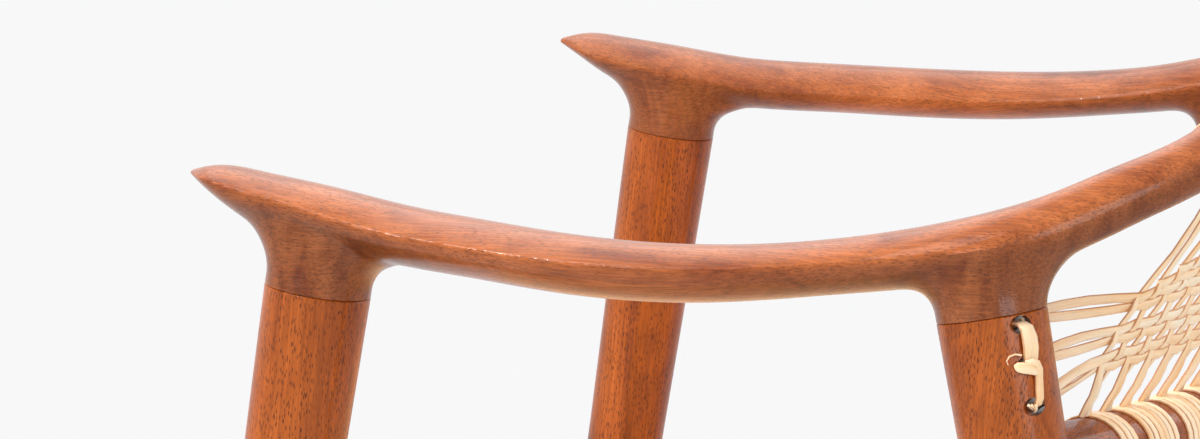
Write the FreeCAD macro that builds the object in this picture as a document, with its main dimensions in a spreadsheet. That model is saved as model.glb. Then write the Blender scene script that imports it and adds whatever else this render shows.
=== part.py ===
import FreeCAD, Part
import math
import os
import Sketcher
from FreeCAD import Placement, Rotation, Vector

# Cane armchair: sculpted arms and crest on four raked round legs, a laced cane back and a woven cane seat.
# X runs to the sitter's left, the chair faces -Y, Z is up and the floor is Z = 0. Millimetres.

SIZES = (
    # where the legs meet the arms
    ("neck_height", 600.0),
    ("rear_neck_lift", 4.9),
    ("front_neck_half", 277.0),
    ("rear_neck_half", 312.0),
    ("neck_spacing", 261.6),
    ("front_rake_deg", 8.7),
    ("front_splay_deg", 0.8),
    ("rear_rake_deg", 10.3),
    ("rear_splay_deg", 1.7),
    # round tapered legs
    ("leg_neck_dia", 40.0),
    ("leg_upper_dia", 35.0),
    ("leg_upper_drop", 140.0),
    ("leg_lower_dia", 30.0),
    ("leg_lower_drop", 340.0),
    ("leg_foot_dia", 24.0),
    ("leg_overrun", 40.0),
    # arms and crest
    ("arm_ridge_height", 32.4),
    ("arm_half_width", 25.0),
    ("arm_crown", 8.6),
    ("arm_belly", 12.6),
    ("arm_bow", 14.0),
    ("arm_bow_lift", 1.9),
    ("crest_bow", 150.0),
    ("crest_rise", 120.0),
    ("crest_half_thickness", 11.5),
    ("crest_half_height", 19.0),
    ("crest_lean_deg", 20.0),
    # necks that the arms grow out of
    ("front_neck_top", 29.0),
    ("front_neck_nose_start", 6.3),
    ("front_neck_nose_height", 33.4),
    ("front_neck_nose_reach", 35.7),
    ("rear_neck_top", 25.0),
    ("rear_neck_riser_height", 24.0),
    ("rear_neck_riser_reach", 32.0),
    ("rear_neck_veer", 5.0),
    ("arch_start", 3.5),
    ("arch_height", 15.0),
    ("arch_reach", 12.5),
    ("neck_side_flare", 2.6),
    # finger joints between arms and crest
    ("finger_depth", 15.0),
    ("finger_pitch", 9.0),
    # loose dowels in the necks, and the pegs that pin the rear ones
    ("front_dowel_dia", 18.0),
    ("rear_dowel_dia", 12.0),
    ("dowel_half_length", 21.0),
    ("dowel_clearance", 0.15),
    ("dowel_end_gap", 1.0),
    ("peg_dia", 3.0),
    ("peg_length", 15.0),
    ("peg_drop", 16.0),
    ("peg_offset", 2.6),
    # lacing holes through the rear legs
    ("lace_hole_dia", 6.6),
    ("lace_hole_drop", 4.8),
    ("lace_hole_pitch", 15.6),
    ("lace_hole_offset", 10.8),
    # lower back rail
    ("back_rail_dia", 28.0),
    ("back_rail_drop", 56.0),
    ("back_rail_bow", 72.0),
    # seat rails
    ("seat_rail_height", 412.0),
    ("seat_rail_stagger", 15.0),
    ("seat_rail_width", 24.0),
    ("seat_rail_depth", 32.0),
    ("seat_rail_round", 9.0),
    ("tenon_dia", 13.0),
    ("tenon_length", 13.0),
    ("tenon_clearance", 0.15),
    # cane
    ("cane_width", 3.7),
    ("cane_thickness", 1.0),
    ("cane_gap", 0.3),
    ("warp_pair_pitch", 14.1),
    ("warp_spread", 7.0),
    ("warp_side_margin", 40.0),
    ("wrap_group_width", 18.0),
    ("wrap_group_gap", 6.0),
    ("wrap_side_margin", 50.0),
    ("crest_wrap_width", 7.0),
    ("crest_wrap_ease", 0.9),
    ("seat_cane_dip", 9.0),
    ("seat_wrap_margin", 34.0),
    ("seat_cane_margin", 3.0),
    ("seat_cane_skin", 1.6),
    ("cut_overrun", 2.0),
)

# Stations along one arm, nose to rear neck: place along the neck spacing, ridge height as a share of
# arm_ridge_height, half width, crown and belly as shares of the arm's, and how full the two curves are.
ARM_STATION_SHARES = (
    (-0.1950, 1.300, 0.09, 0.10, 0.07, 1.0, 1.6),
    (-0.1600, 1.270, 0.61, 0.50, 0.37, 1.0, 1.6),
    (-0.1000, 1.167, 0.89, 0.70, 0.95, 1.0, 1.6),
    (0.0000, 1.000, 1.00, 0.84, 1.06, 1.0, 1.6),
    (0.1250, 0.790, 1.00, 0.99, 1.04, 1.0, 1.6),
    (0.2460, 0.645, 0.99, 1.02, 0.99, 1.0, 1.6),
    (0.3960, 0.546, 0.98, 1.00, 1.01, 1.0, 1.6),
    (0.6000, 0.525, 0.97, 0.97, 0.97, 1.05, 1.6),
    (0.7450, 0.623, 0.95, 0.92, 0.93, 1.1, 1.6),
    (0.8880, 0.785, 0.92, 1.06, 0.93, 1.25, 1.7),
    (1.0000, 0.975, 0.84, 1.32, 0.95, 1.5, 1.8),
)

# Stations round the bow, rear neck to crest centre: share of the quarter turn, share of the rise from
# the rear neck to the crest, half thickness and half heights as shares of the crest's, and the lean.
BOW_STATION_SHARES = (
    (0.100, 0.110, 1.36, 0.64, 0.62, 0.00),
    (0.190, 0.215, 1.16, 0.62, 0.62, 0.10),
    (0.300, 0.345, 1.08, 0.61, 0.61, 0.25),
    (0.430, 0.500, 1.04, 0.68, 0.68, 0.50),
    (0.560, 0.650, 1.02, 0.80, 0.80, 0.75),
    (0.700, 0.800, 1.00, 0.91, 0.91, 0.90),
    (0.850, 0.930, 1.00, 0.98, 0.98, 1.00),
)
CREST_CENTRE_SHARES = (1.000, 1.000, 1.00, 1.00, 1.00, 1.00)
SECTION_POINT_SHARES = (-0.935, -0.70, -0.36, 0.0, 0.36, 0.70, 0.935)
NECK_LEVEL_SHARES = (0.0, 0.14, 0.28, 0.42, 0.56, 0.70, 0.85, 1.0)
NECK_RING_POINTS = 16
RAIL_SIDES = 24
WRAP_SIDES = 12
ARCH_ROUNDNESS = 2.0
NOSE_ROUNDNESS = 1.5
RISER_ROUNDNESS = 1.7
FINGER_STEPS = 5
FINGER_JOINT_SHARE = 0.43

# Rows of weft, low to high: share of the warp's length at the side of the back and at its centre, and the
# share of the half width at which a row starts.
FULL_ROW_SHARES = (
    (0.23, 0.130),
    (0.27, 0.173),
    (0.34, 0.216),
    (0.38, 0.259),
    (0.46, 0.302),
    (0.50, 0.345),
)
SHORT_ROW_SHARES = (
    (0.96, 0.388),
    (0.92, 0.431),
    (0.88, 0.474),
    (0.84, 0.517),
    (0.80, 0.560),
    (0.72, 0.603),
    (0.68, 0.646),
    (0.60, 0.689),
    (0.52, 0.732),
    (0.44, 0.775),
    (0.32, 0.818),
)
LENGTHWISE_SHARE = 0.5
WEFT_STEP = 3
CREST_SLEEVES = 20
HALVINGS = 40
MIN_WEFT_STATIONS = 3
ROUND = 2.0
QUARTER_DEG = 90.0
SEAT_STATION_SHARES = (0.0, 0.12, 0.3, 0.5, 0.7, 0.88, 1.0)
SEAT_ACROSS_SHARES = (-1.0, -0.75, -0.5, -0.25, 0.0, 0.25, 0.5, 0.75, 1.0)
TURN_FLOOR = 0.1

# The rows of weft that are led into each hole, top hole first
LACE_ROWS = ((5, 4), (3, 2), (1, 0))
SEAM_ROLL_DEG = 35.0

os.makedirs("parts", exist_ok=True)
doc = FreeCAD.newDocument("cane_armchair")

# Driving dimensions
sheet = doc.addObject("Spreadsheet::Sheet", "sizes")
for row, (alias, value) in enumerate(SIZES, start=1):
    sheet.set(f"A{row}", alias)
    sheet.set(f"B{row}", str(value))
    sheet.setAlias(f"B{row}", alias)
doc.recompute()

parts = []


def size(alias):
    return float(getattr(sheet, alias))


def cell(alias):
    return f"<<sizes>>.{alias}"


def tangent_of(degrees):
    return math.tan(math.radians(degrees))


def mirrored(point, side):
    return Vector(point.x * side, point.y, point.z)


def keep(obj, label):
    """Names a finished piece, so that it is checked and written to its file."""
    obj.Label = label
    parts.append(obj)
    return obj


def feature(label, shape):
    obj = doc.addObject("Part::Feature", label)
    obj.Shape = shape
    return obj


def origin_plane(body, role):
    return next(f for f in body.Origin.OriginFeatures if f.Role == role)


def new_sketch(body, label, role):
    sketch = body.newObject("Sketcher::SketchObject", label)
    sketch.AttachmentSupport = [(origin_plane(body, role), "")]
    sketch.MapMode = "FlatFace"
    return sketch


def add_circle(sketch, diameter_expression, x=0.0, y=0.0):
    """A circle whose diameter follows the sheet, centred at x, y in its sketch."""
    circle = sketch.addGeometry(Part.Circle(Vector(x, y, 0), Vector(0, 0, 1), size("cane_width")), False)
    diameter = sketch.addConstraint(Sketcher.Constraint("Diameter", circle, 2 * size("cane_width")))
    sketch.setExpression(f"Constraints[{diameter}]", diameter_expression)
    if x or y:
        sketch.addConstraint(Sketcher.Constraint("DistanceX", -1, 1, circle, 3, x))
        sketch.addConstraint(Sketcher.Constraint("DistanceY", -1, 1, circle, 3, y))
    else:
        sketch.addConstraint(Sketcher.Constraint("Coincident", circle, 3, -1, 1))
    return circle


def add_rectangle(sketch, width_alias, height_alias):
    """A rectangle centred on the sketch origin, its sides bound to the sheet."""
    half_width = size(width_alias) / 2
    half_height = size(height_alias) / 2
    corners = (
        Vector(-half_width, -half_height, 0),
        Vector(half_width, -half_height, 0),
        Vector(half_width, half_height, 0),
        Vector(-half_width, half_height, 0),
    )
    for k in range(4):
        sketch.addGeometry(Part.LineSegment(corners[k], corners[(k + 1) % 4]), False)
    for k in range(4):
        sketch.addConstraint(Sketcher.Constraint("Coincident", k, 2, (k + 1) % 4, 1))
    for k in (0, 2):
        sketch.addConstraint(Sketcher.Constraint("Horizontal", k))
    for k in (1, 3):
        sketch.addConstraint(Sketcher.Constraint("Vertical", k))
    sketch.addConstraint(Sketcher.Constraint("Symmetric", 0, 1, 2, 1, -1, 1))
    width = sketch.addConstraint(Sketcher.Constraint("DistanceX", 0, 1, 0, 2, 2 * half_width))
    height = sketch.addConstraint(Sketcher.Constraint("DistanceY", 1, 1, 1, 2, 2 * half_height))
    sketch.setExpression(f"Constraints[{width}]", cell(width_alias))
    sketch.setExpression(f"Constraints[{height}]", cell(height_alias))


def cylinder(label, start, direction, length, diameter_expression):
    """A round bar or drill from start along direction, its diameter bound to the sheet."""
    obj = doc.addObject("Part::Cylinder", label)
    obj.setExpression("Radius", f"({diameter_expression}) / 2")
    obj.Height = length
    seam_roll = Rotation(Vector(0, 0, 1), SEAM_ROLL_DEG)
    obj.Placement = Placement(start, Rotation(Vector(0, 0, 1), direction).multiply(seam_roll))
    return obj


def cut(label, base, tools):
    joined = tools[0]
    if len(tools) > 1:
        joined = doc.addObject("Part::MultiFuse", label + "_tools")
        joined.Shapes = tools
    obj = doc.addObject("Part::Cut", label)
    obj.Base = base
    obj.Tool = joined
    return obj


def fuse(label, shapes):
    obj = doc.addObject("Part::MultiFuse", label)
    obj.Shapes = shapes
    return obj


# Places that several pieces share. The foot in front and the crest behind stand equally far from Y = 0.
def crest_back_reach():
    lean = math.radians(size("crest_lean_deg"))
    across = size("crest_half_thickness") * math.cos(lean)
    along = size("crest_half_height") * math.sin(lean)
    return math.hypot(across, along)


foot_reach = size("neck_height") * tangent_of(size("front_rake_deg"))
foot_reach += size("leg_foot_dia") / 2 / math.cos(math.radians(size("front_rake_deg")))
wrap_thickness = size("cane_thickness") + size("cane_gap")
back_reach = size("neck_spacing") + size("crest_bow") + crest_back_reach()
back_reach += wrap_thickness + size("crest_wrap_ease")
front_y = (foot_reach - back_reach) / 2
rear_y = front_y + size("neck_spacing")
rear_height = size("neck_height") + size("rear_neck_lift")

front_neck = Vector(size("front_neck_half"), front_y, size("neck_height"))
rear_neck = Vector(size("rear_neck_half"), rear_y, rear_height)
front_up = Vector(-tangent_of(size("front_splay_deg")), tangent_of(size("front_rake_deg")), 1)
rear_up = Vector(-tangent_of(size("rear_splay_deg")), -tangent_of(size("rear_rake_deg")), 1)
front_up.normalize()
rear_up.normalize()


def leg_axis_at(neck, up, height):
    """Where a leg's axis passes the given height above the floor."""
    return neck - up * ((neck.z - height) / up.z)


def leg_radius_at(drop):
    """The leg's radius at a distance below its neck, read along the straight taper between sections."""
    marks = (
        (0.0, size("leg_neck_dia")),
        (size("leg_upper_drop"), size("leg_upper_dia")),
        (size("leg_lower_drop"), size("leg_lower_dia")),
        (size("neck_height") + size("leg_overrun"), size("leg_foot_dia")),
    )
    for (d0, dia0), (d1, dia1) in zip(marks, marks[1:]):
        if drop <= d1:
            return (dia0 + (dia1 - dia0) * (drop - d0) / (d1 - d0)) / 2
    return size("leg_foot_dia") / 2


# Legs
def add_turned_profile(sketch):
    """Half of a leg's outline, neck at the top, each corner's radius and drop bound to the sheet."""
    marks = (
        ("leg_neck_dia", "0"),
        ("leg_upper_dia", cell("leg_upper_drop")),
        ("leg_lower_dia", cell("leg_lower_drop")),
        ("leg_foot_dia", f"{cell('neck_height')} + {cell('leg_overrun')}"),
    )
    drops = (0.0, size("leg_upper_drop"), size("leg_lower_drop"), size("neck_height") + size("leg_overrun"))
    corners = [Vector(0, 0, 0)]
    corners += [Vector(size(alias) / 2, -drop, 0) for (alias, _), drop in zip(marks, drops)]
    corners.append(Vector(0, -drops[-1], 0))
    count = len(corners)
    for k in range(count):
        sketch.addGeometry(Part.LineSegment(corners[k], corners[(k + 1) % count]), False)
    for k in range(count):
        sketch.addConstraint(Sketcher.Constraint("Coincident", k, 2, (k + 1) % count, 1))
    sketch.addConstraint(Sketcher.Constraint("Coincident", 0, 1, -1, 1))
    sketch.addConstraint(Sketcher.Constraint("Horizontal", 0))
    sketch.addConstraint(Sketcher.Constraint("Vertical", count - 1))
    sketch.addConstraint(Sketcher.Constraint("Horizontal", count - 2))
    for k, (alias, drop) in enumerate(marks, start=1):
        radius = sketch.addConstraint(Sketcher.Constraint("DistanceX", -1, 1, k, 1, corners[k].x))
        sketch.setExpression(f"Constraints[{radius}]", f"{cell(alias)} / 2")
        if k > 1:
            fall = sketch.addConstraint(Sketcher.Constraint("DistanceY", k, 1, -1, 1, -corners[k].y))
            sketch.setExpression(f"Constraints[{fall}]", drop)


def leg_blank(label, neck, up, dowel_alias, laced):
    body = doc.addObject("PartDesign::Body", label + "_blank")
    profile = new_sketch(body, label + "_profile", "XZ_Plane")
    add_turned_profile(profile)
    turned = body.newObject("PartDesign::Revolution", label + "_turned")
    turned.Profile = profile
    turned.ReferenceAxis = (origin_plane(body, "Z_Axis"), [""])
    turned.Angle = 360
    bore_ring = new_sketch(body, label + "_bore_ring", "XY_Plane")
    add_circle(bore_ring, f"{cell(dowel_alias)} + 2 * {cell('dowel_clearance')}")
    bore = body.newObject("PartDesign::Pocket", label + "_dowel_bore")
    bore.Profile = bore_ring
    bore.setExpression("Length", f"{cell('dowel_half_length')} + {cell('dowel_end_gap')}")
    body.Tip = bore
    if laced:
        hole_ring = new_sketch(body, label + "_lace_ring", "YZ_Plane")
        add_circle(hole_ring, cell("lace_hole_dia"), size("lace_hole_offset"), -size("lace_hole_drop"))
        hole = body.newObject("PartDesign::Pocket", label + "_lace_hole")
        hole.Profile = hole_ring
        hole.Type = "ThroughAll"
        hole.Midplane = True
        holes = body.newObject("PartDesign::LinearPattern", label + "_lace_holes")
        holes.Originals = [hole]
        holes.Direction = (origin_plane(body, "Z_Axis"), [""])
        holes.Reversed = True
        holes.Occurrences = 3
        holes.setExpression("Length", f"2 * {cell('lace_hole_pitch')}")
        body.Tip = holes
    body.Placement = Placement(neck, Rotation(Vector(0, 0, 1), up))
    return body


floor_cut = doc.addObject("Part::Box", "below_floor")
floor_cut.Length = 4 * size("rear_neck_half")
floor_cut.Width = 4 * size("rear_neck_half")
floor_cut.Height = 2 * size("leg_overrun")
floor_cut.Placement = Placement(
    Vector(-2 * size("rear_neck_half"), -2 * size("rear_neck_half"), -2 * size("leg_overrun")), Rotation()
)

legs = {}
for side, side_name in ((1, "left"), (-1, "right")):
    for row_name, neck, up, dowel, laced in (
        ("front", front_neck, front_up, "front_dowel_dia", False),
        ("rear", rear_neck, rear_up, "rear_dowel_dia", True),
    ):
        label = f"{row_name}_{side_name}_leg"
        legs[row_name, side] = leg_blank(label, mirrored(neck, side), mirrored(up, side), dowel, laced)


# Rails: each runs from leg axis to leg axis, is scribed to the round legs and has a round tenon at each end
mortises = {key: [] for key in legs}


def shoulder_and_mortise(label, leg_key, inward):
    """The leg less a tenon's space, which cuts a rail's shoulder, and the mortise drilled in the leg itself."""
    neck, up = (front_neck, front_up) if leg_key[0] == "front" else (rear_neck, rear_up)
    start, direction = inward
    radius = leg_radius_at(neck.z - start.z)
    bottom = radius - size("tenon_length")
    tenon_space = cylinder(
        label + "_tenon_space",
        start + direction * bottom,
        direction,
        size("tenon_length") + size("cut_overrun"),
        cell("tenon_dia"),
    )
    mortise = cylinder(
        label + "_mortise",
        start + direction * (bottom - size("dowel_end_gap")),
        direction,
        size("tenon_length") + size("dowel_end_gap") + size("cut_overrun"),
        f"{cell('tenon_dia')} + 2 * {cell('tenon_clearance')}",
    )
    mortises[leg_key].append(mortise)
    return cut(label + "_shoulder_cut", legs[leg_key], [tenon_space])


def finish_rail(label, blank, ends):
    """Scribes a rail to its two legs and adds its tenons. ends: leg key, point on the axis, direction."""
    rail = blank
    for n, (key, point, direction) in enumerate(ends):
        end_label = f"{label}_end_{n}"
        rail = cut(end_label, rail, [shoulder_and_mortise(end_label, key, (point, direction))])
    return keep(rail, label)


def straight_rail(label, key_a, key_b, height):
    points = []
    for row_name, side in (key_a, key_b):
        neck, up = (front_neck, front_up) if row_name == "front" else (rear_neck, rear_up)
        points.append(mirrored(leg_axis_at(neck, up, height), side))
    run = points[1] - points[0]
    direction = Vector(run).normalize()
    body = doc.addObject("PartDesign::Body", label + "_blank")
    profile = new_sketch(body, label + "_profile", "XY_Plane")
    add_rectangle(profile, "seat_rail_width", "seat_rail_depth")
    pad = body.newObject("PartDesign::Pad", label + "_bar")
    pad.Profile = profile
    pad.Length = run.Length
    doc.recompute()
    long_edges = [
        f"Edge{n}"
        for n, edge in enumerate(pad.Shape.Edges, start=1)
        if abs(edge.tangentAt(edge.FirstParameter).z) > LENGTHWISE_SHARE
    ]
    rounded = body.newObject("PartDesign::Fillet", label + "_rounded")
    rounded.Base = (pad, long_edges)
    rounded.setExpression("Radius", cell("seat_rail_round"))
    body.Tip = rounded
    across = Vector(0, 0, 1).cross(direction)
    rotation = Rotation(across, Vector(0, 0, 1), direction, "ZYX")
    body.Placement = Placement(points[0], rotation)
    ends = ((key_a, points[0], direction), (key_b, points[1], -direction))
    return finish_rail(label, body, ends)


low_seat = size("seat_rail_height")
high_seat = low_seat + size("seat_rail_stagger")
straight_rail("seat_front_rail", ("front", 1), ("front", -1), low_seat)
straight_rail("seat_back_rail", ("rear", 1), ("rear", -1), low_seat)
straight_rail("seat_left_rail", ("front", 1), ("rear", 1), high_seat)
straight_rail("seat_right_rail", ("front", -1), ("rear", -1), high_seat)

# Lower back rail: a round bar bent to an arc in plan
back_rail_height = rear_height - size("back_rail_drop")
back_rail_end = leg_axis_at(rear_neck, rear_up, back_rail_height)
half_span = back_rail_end.x
bow = size("back_rail_bow")
arc_radius = (half_span**2 + bow**2) / (2 * bow)
half_turn = math.asin(half_span / arc_radius)
arc_centre = Vector(0, back_rail_end.y + bow - arc_radius, back_rail_height)


def add_polygon(sketch, sides, diameter_expression, x):
    """A regular polygon centred at x on the sketch's first axis, its corners on a circle bound to the sheet."""
    rim = add_circle(sketch, diameter_expression, x, 0.0)
    sketch.toggleConstruction(rim)
    radius = size("cane_width")
    corners = []
    for n in range(sides):
        angle = 2 * math.pi * n / sides
        corners.append(Vector(x + radius * math.cos(angle), radius * math.sin(angle), 0))
    first = sketch.GeometryCount
    for n in range(sides):
        sketch.addGeometry(Part.LineSegment(corners[n], corners[(n + 1) % sides]), False)
    for n in range(sides):
        sketch.addConstraint(Sketcher.Constraint("Coincident", first + n, 2, first + (n + 1) % sides, 1))
        sketch.addConstraint(Sketcher.Constraint("PointOnObject", first + n, 1, rim))
        if n:
            sketch.addConstraint(Sketcher.Constraint("Equal", first, first + n))
    sketch.addConstraint(Sketcher.Constraint("PointOnObject", first, 1, -1))


def arc_body(label, sides, diameters, turn, count=1, total=0.0):
    """Turns concentric polygons about the rail's vertical axis, and repeats them evenly round the arc."""
    body = doc.addObject("PartDesign::Body", label + "_body")
    ring = new_sketch(body, label + "_ring", "XZ_Plane")
    for expression in diameters:
        add_polygon(ring, sides, expression, arc_radius)
    bar = body.newObject("PartDesign::Revolution", label + "_bar")
    bar.Profile = ring
    bar.ReferenceAxis = (origin_plane(body, "Z_Axis"), [""])
    bar.Angle = math.degrees(turn)
    bar.Midplane = True
    body.Tip = bar
    if count > 1:
        pattern = body.newObject("PartDesign::PolarPattern", label + "_row")
        pattern.Originals = [bar]
        pattern.Axis = (origin_plane(body, "Z_Axis"), [""])
        pattern.Angle = math.degrees(total)
        pattern.Occurrences = count
        body.Tip = pattern
    first = math.pi / 2 - total / 2
    body.Placement = Placement(arc_centre, Rotation(Vector(0, 0, 1), math.degrees(first)))
    return body


def along_arc(angle):
    """Direction from the arc's centre to the rail, at an angle from straight behind, positive to the left."""
    return Vector(math.sin(angle), math.cos(angle), 0)


def arc_tangent(angle):
    return Vector(math.cos(angle), -math.sin(angle), 0)


back_rail_blank = arc_body("back_lower_rail", RAIL_SIDES, [cell("back_rail_dia")], 2 * half_turn)
finish_rail(
    "back_lower_rail",
    back_rail_blank,
    (
        (("rear", 1), back_rail_end, -arc_tangent(half_turn)),
        (("rear", -1), mirrored(back_rail_end, -1), arc_tangent(-half_turn)),
    ),
)

# Legs, cut off at the floor and mortised
peg_drills = []
pegs = []
for (row_name, side), blank in legs.items():
    side_name = "left" if side > 0 else "right"
    tools = [floor_cut] + mortises[row_name, side]
    if row_name == "rear":
        up = mirrored(rear_up, side)
        rearward = Vector(0, 1, 0).cross(up).cross(up) * -1
        rearward.normalize()
        outward = rearward.cross(up) * side
        outward.normalize()
        peg_centre = mirrored(rear_neck, side) - up * size("peg_drop") + rearward * size("peg_offset")
        face = math.sqrt(leg_radius_at(size("peg_drop")) ** 2 - size("peg_offset") ** 2)
        drill = cylinder(
            f"peg_drill_{side_name}",
            peg_centre + outward * (face + size("cut_overrun")),
            -outward,
            size("peg_length") + size("cut_overrun") + size("dowel_end_gap"),
            f"{cell('peg_dia')} + 2 * {cell('dowel_clearance')}",
        )
        peg = cylinder(f"peg_{side_name}", peg_centre + outward * face, -outward, size("peg_length"), cell("peg_dia"))
        tools.append(drill)
        peg_drills.append(drill)
        pegs.append(peg)
    keep(cut(f"{row_name}_{side_name}_leg_cut", blank, tools), f"{row_name}_{side_name}_leg")


# Arms and crest: one flowing rail lofted from nose to nose, then sawn apart at the finger joints
def full_curve(share, top, fullness):
    """Height of a section's upper or lower curve at a share of its half width."""
    return top * (1 - share * share) ** (1 / fullness)


def section_ring(centre, outward, upward, half_width, crown, belly, crown_full, belly_full):
    """Corners round one section of the rail: over the crown and back under the belly."""
    over = [(s, full_curve(s, crown, crown_full)) for s in SECTION_POINT_SHARES]
    under = [(s, -full_curve(s, belly, belly_full)) for s in reversed(SECTION_POINT_SHARES)]
    outline = [(-1.0, 0.0)] + over + [(1.0, 0.0)] + under
    return [centre + outward * (half_width * s) + upward * y for s, y in outline]


def closed_wire(points):
    return Part.makePolygon(points + [points[0]])


def arm_stations():
    """Centre and section sizes of every station from the left nose to the crest's centre."""
    stations = []
    toe = size("rear_neck_half") - size("front_neck_half")
    for along, ridge, width, crown, belly, crown_full, belly_full in ARM_STATION_SHARES:
        bulge = math.sin(math.pi * min(max(along, 0.0), 1.0)) ** 2
        centre = Vector(
            size("front_neck_half") + toe * along + size("arm_bow") * bulge,
            front_y + size("neck_spacing") * along,
            size("neck_height") + size("arm_ridge_height") * ridge + size("arm_bow_lift") * bulge,
        )
        stations.append(
            (
                centre,
                size("arm_half_width") * width,
                size("arm_crown") * crown,
                size("arm_belly") * belly,
                crown_full,
                belly_full,
                0.0,
            )
        )
    start_height = stations[-1][0].z
    rise = size("neck_height") + size("crest_rise") - start_height
    for turn, climb, thick, above, below, lean in BOW_STATION_SHARES + (CREST_CENTRE_SHARES,):
        angle = turn * math.pi / 2
        centre = Vector(
            size("rear_neck_half") * math.cos(angle),
            rear_y + size("crest_bow") * math.sin(angle),
            start_height + rise * climb,
        )
        stations.append(
            (
                centre,
                size("crest_half_thickness") * thick,
                size("crest_half_height") * above,
                size("crest_half_height") * below,
                2.0,
                2.0,
                size("crest_lean_deg") * lean,
            )
        )
    return stations


half_stations = arm_stations()
all_stations = half_stations + [(mirrored(s[0], -1),) + s[1:] for s in reversed(half_stations[:-1])]
rail_line = Part.BSplineCurve()
rail_line.interpolate([s[0] for s in all_stations])


def frame_at(parameter, lean_deg):
    """Tangent, outward and upward directions of the rail at a place on its centre line."""
    tangent = rail_line.tangent(parameter)[0]
    outward = tangent.cross(Vector(0, 0, 1)).normalize()
    upward = outward.cross(tangent).normalize()
    lean = math.radians(lean_deg)
    leaned_up = upward * math.cos(lean) + outward * math.sin(lean)
    leaned_out = outward * math.cos(lean) - upward * math.sin(lean)
    return tangent, leaned_out, leaned_up


rings = []
for centre, half_width, crown, belly, crown_full, belly_full, lean in all_stations:
    tangent, outward, upward = frame_at(rail_line.parameter(centre), lean)
    rings.append(section_ring(centre, outward, upward, half_width, crown, belly, crown_full, belly_full))
rail_blank = feature("arm_and_crest_blank", Part.makeLoft([closed_wire(ring) for ring in rings], True, False))


def flare(level, start, height, reach, roundness):
    """How far a neck has flared out at a level above its joint."""
    share = min(max((level - start) / (height - start), 0.0), 1.0)
    return reach * (1 - (1 - share**roundness) ** (1 / roundness))


def neck_ring(centre, forward, lateral, side_half, front_half, rear_half, veer):
    points = []
    for n in range(NECK_RING_POINTS):
        angle = 2 * math.pi * n / NECK_RING_POINTS
        across = side_half * math.cos(angle)
        along = math.sin(angle)
        if along > 0:
            across -= veer * along * along
        reach = rear_half if along > 0 else front_half
        points.append(centre + lateral * across - forward * (reach * along))
    return closed_wire(points)


def neck_shape(neck, up, top, front_flare, rear_flare, veer):
    """The flared neck that joins the round leg to the underside of the arm, on the left side."""
    toe = Vector(size("rear_neck_half") - size("front_neck_half"), size("neck_spacing"), 0).normalize()
    lateral = toe.cross(up).normalize()
    forward = lateral.cross(up).normalize()
    if forward.y > 0:
        forward = -forward
    radius = size("leg_neck_dia") / 2
    rings = []
    for share in NECK_LEVEL_SHARES:
        level = top * share
        front_half = radius + flare(level, *front_flare)
        rear_half = radius + flare(level, *rear_flare)
        side_half = radius + flare(level, size("arch_start"), top, size("neck_side_flare"), ARCH_ROUNDNESS)
        rings.append(
            neck_ring(neck + up * level, forward, lateral, side_half, front_half, rear_half, veer * share)
        )
    return Part.makeLoft(rings, True, True)


arch = (size("arch_start"), size("arch_height"), size("arch_reach"), ARCH_ROUNDNESS)
nose_flare = (
    size("front_neck_nose_start"),
    size("front_neck_nose_height"),
    size("front_neck_nose_reach"),
    NOSE_ROUNDNESS,
)
riser_flare = (0.0, size("rear_neck_riser_height"), size("rear_neck_riser_reach"), RISER_ROUNDNESS)
front_neck_shape = neck_shape(front_neck, front_up, size("front_neck_top"), nose_flare, arch, 0.0)
rear_neck_shape = neck_shape(
    rear_neck, rear_up, size("rear_neck_top"), arch, riser_flare, size("rear_neck_veer")
)

# Finger joint: a zigzag saw line across the rail, drawn on blocks that reach past the whole blank
block_reach = size("neck_spacing") + size("crest_bow") + size("rear_neck_half")
block_half = size("neck_spacing") / 2
joint_angle = FINGER_JOINT_SHARE * math.pi / 2
joint_place = Vector(
    size("rear_neck_half") * math.cos(joint_angle), rear_y + size("crest_bow") * math.sin(joint_angle), 0
)
nearest = rail_line.parameter(
    min((s[0] for s in half_stations), key=lambda p: (Vector(p.x, p.y, 0) - joint_place).Length)
)
joint_centre = rail_line.value(nearest)
joint_along, joint_out, joint_up = frame_at(nearest, 0.0)
joint_up = Vector(0, 0, 1)
joint_along = joint_up.cross(joint_out)


def joint_block(side, reach):
    """Everything on one side of a finger joint: towards the crest for a positive reach, else towards the nose."""
    half = block_half
    pitch = size("finger_pitch")
    outline = [(reach, -half), (0.0, -half)]
    for n in range(2 * FINGER_STEPS + 1):
        height = (n - FINGER_STEPS) * pitch / 2
        depth = size("finger_depth") / 2 * (1 if n % 2 else -1)
        outline.append((depth, height))
    outline += [(0.0, half), (reach, half)]
    inside = joint_centre - joint_out * block_reach
    points = [mirrored(inside + joint_along * a + joint_up * u, side) for a, u in outline]
    face = Part.Face(closed_wire(points))
    return face.extrude(mirrored(joint_out, side) * (block_reach + half))


crest = doc.addObject("Part::MultiCommon", "crest_sawn")
crest.Shapes = [
    rail_blank,
    feature("crest_side_left", joint_block(1, block_reach)),
    feature("crest_side_right", joint_block(-1, block_reach)),
]
keep(crest, "crest_rail")

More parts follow.
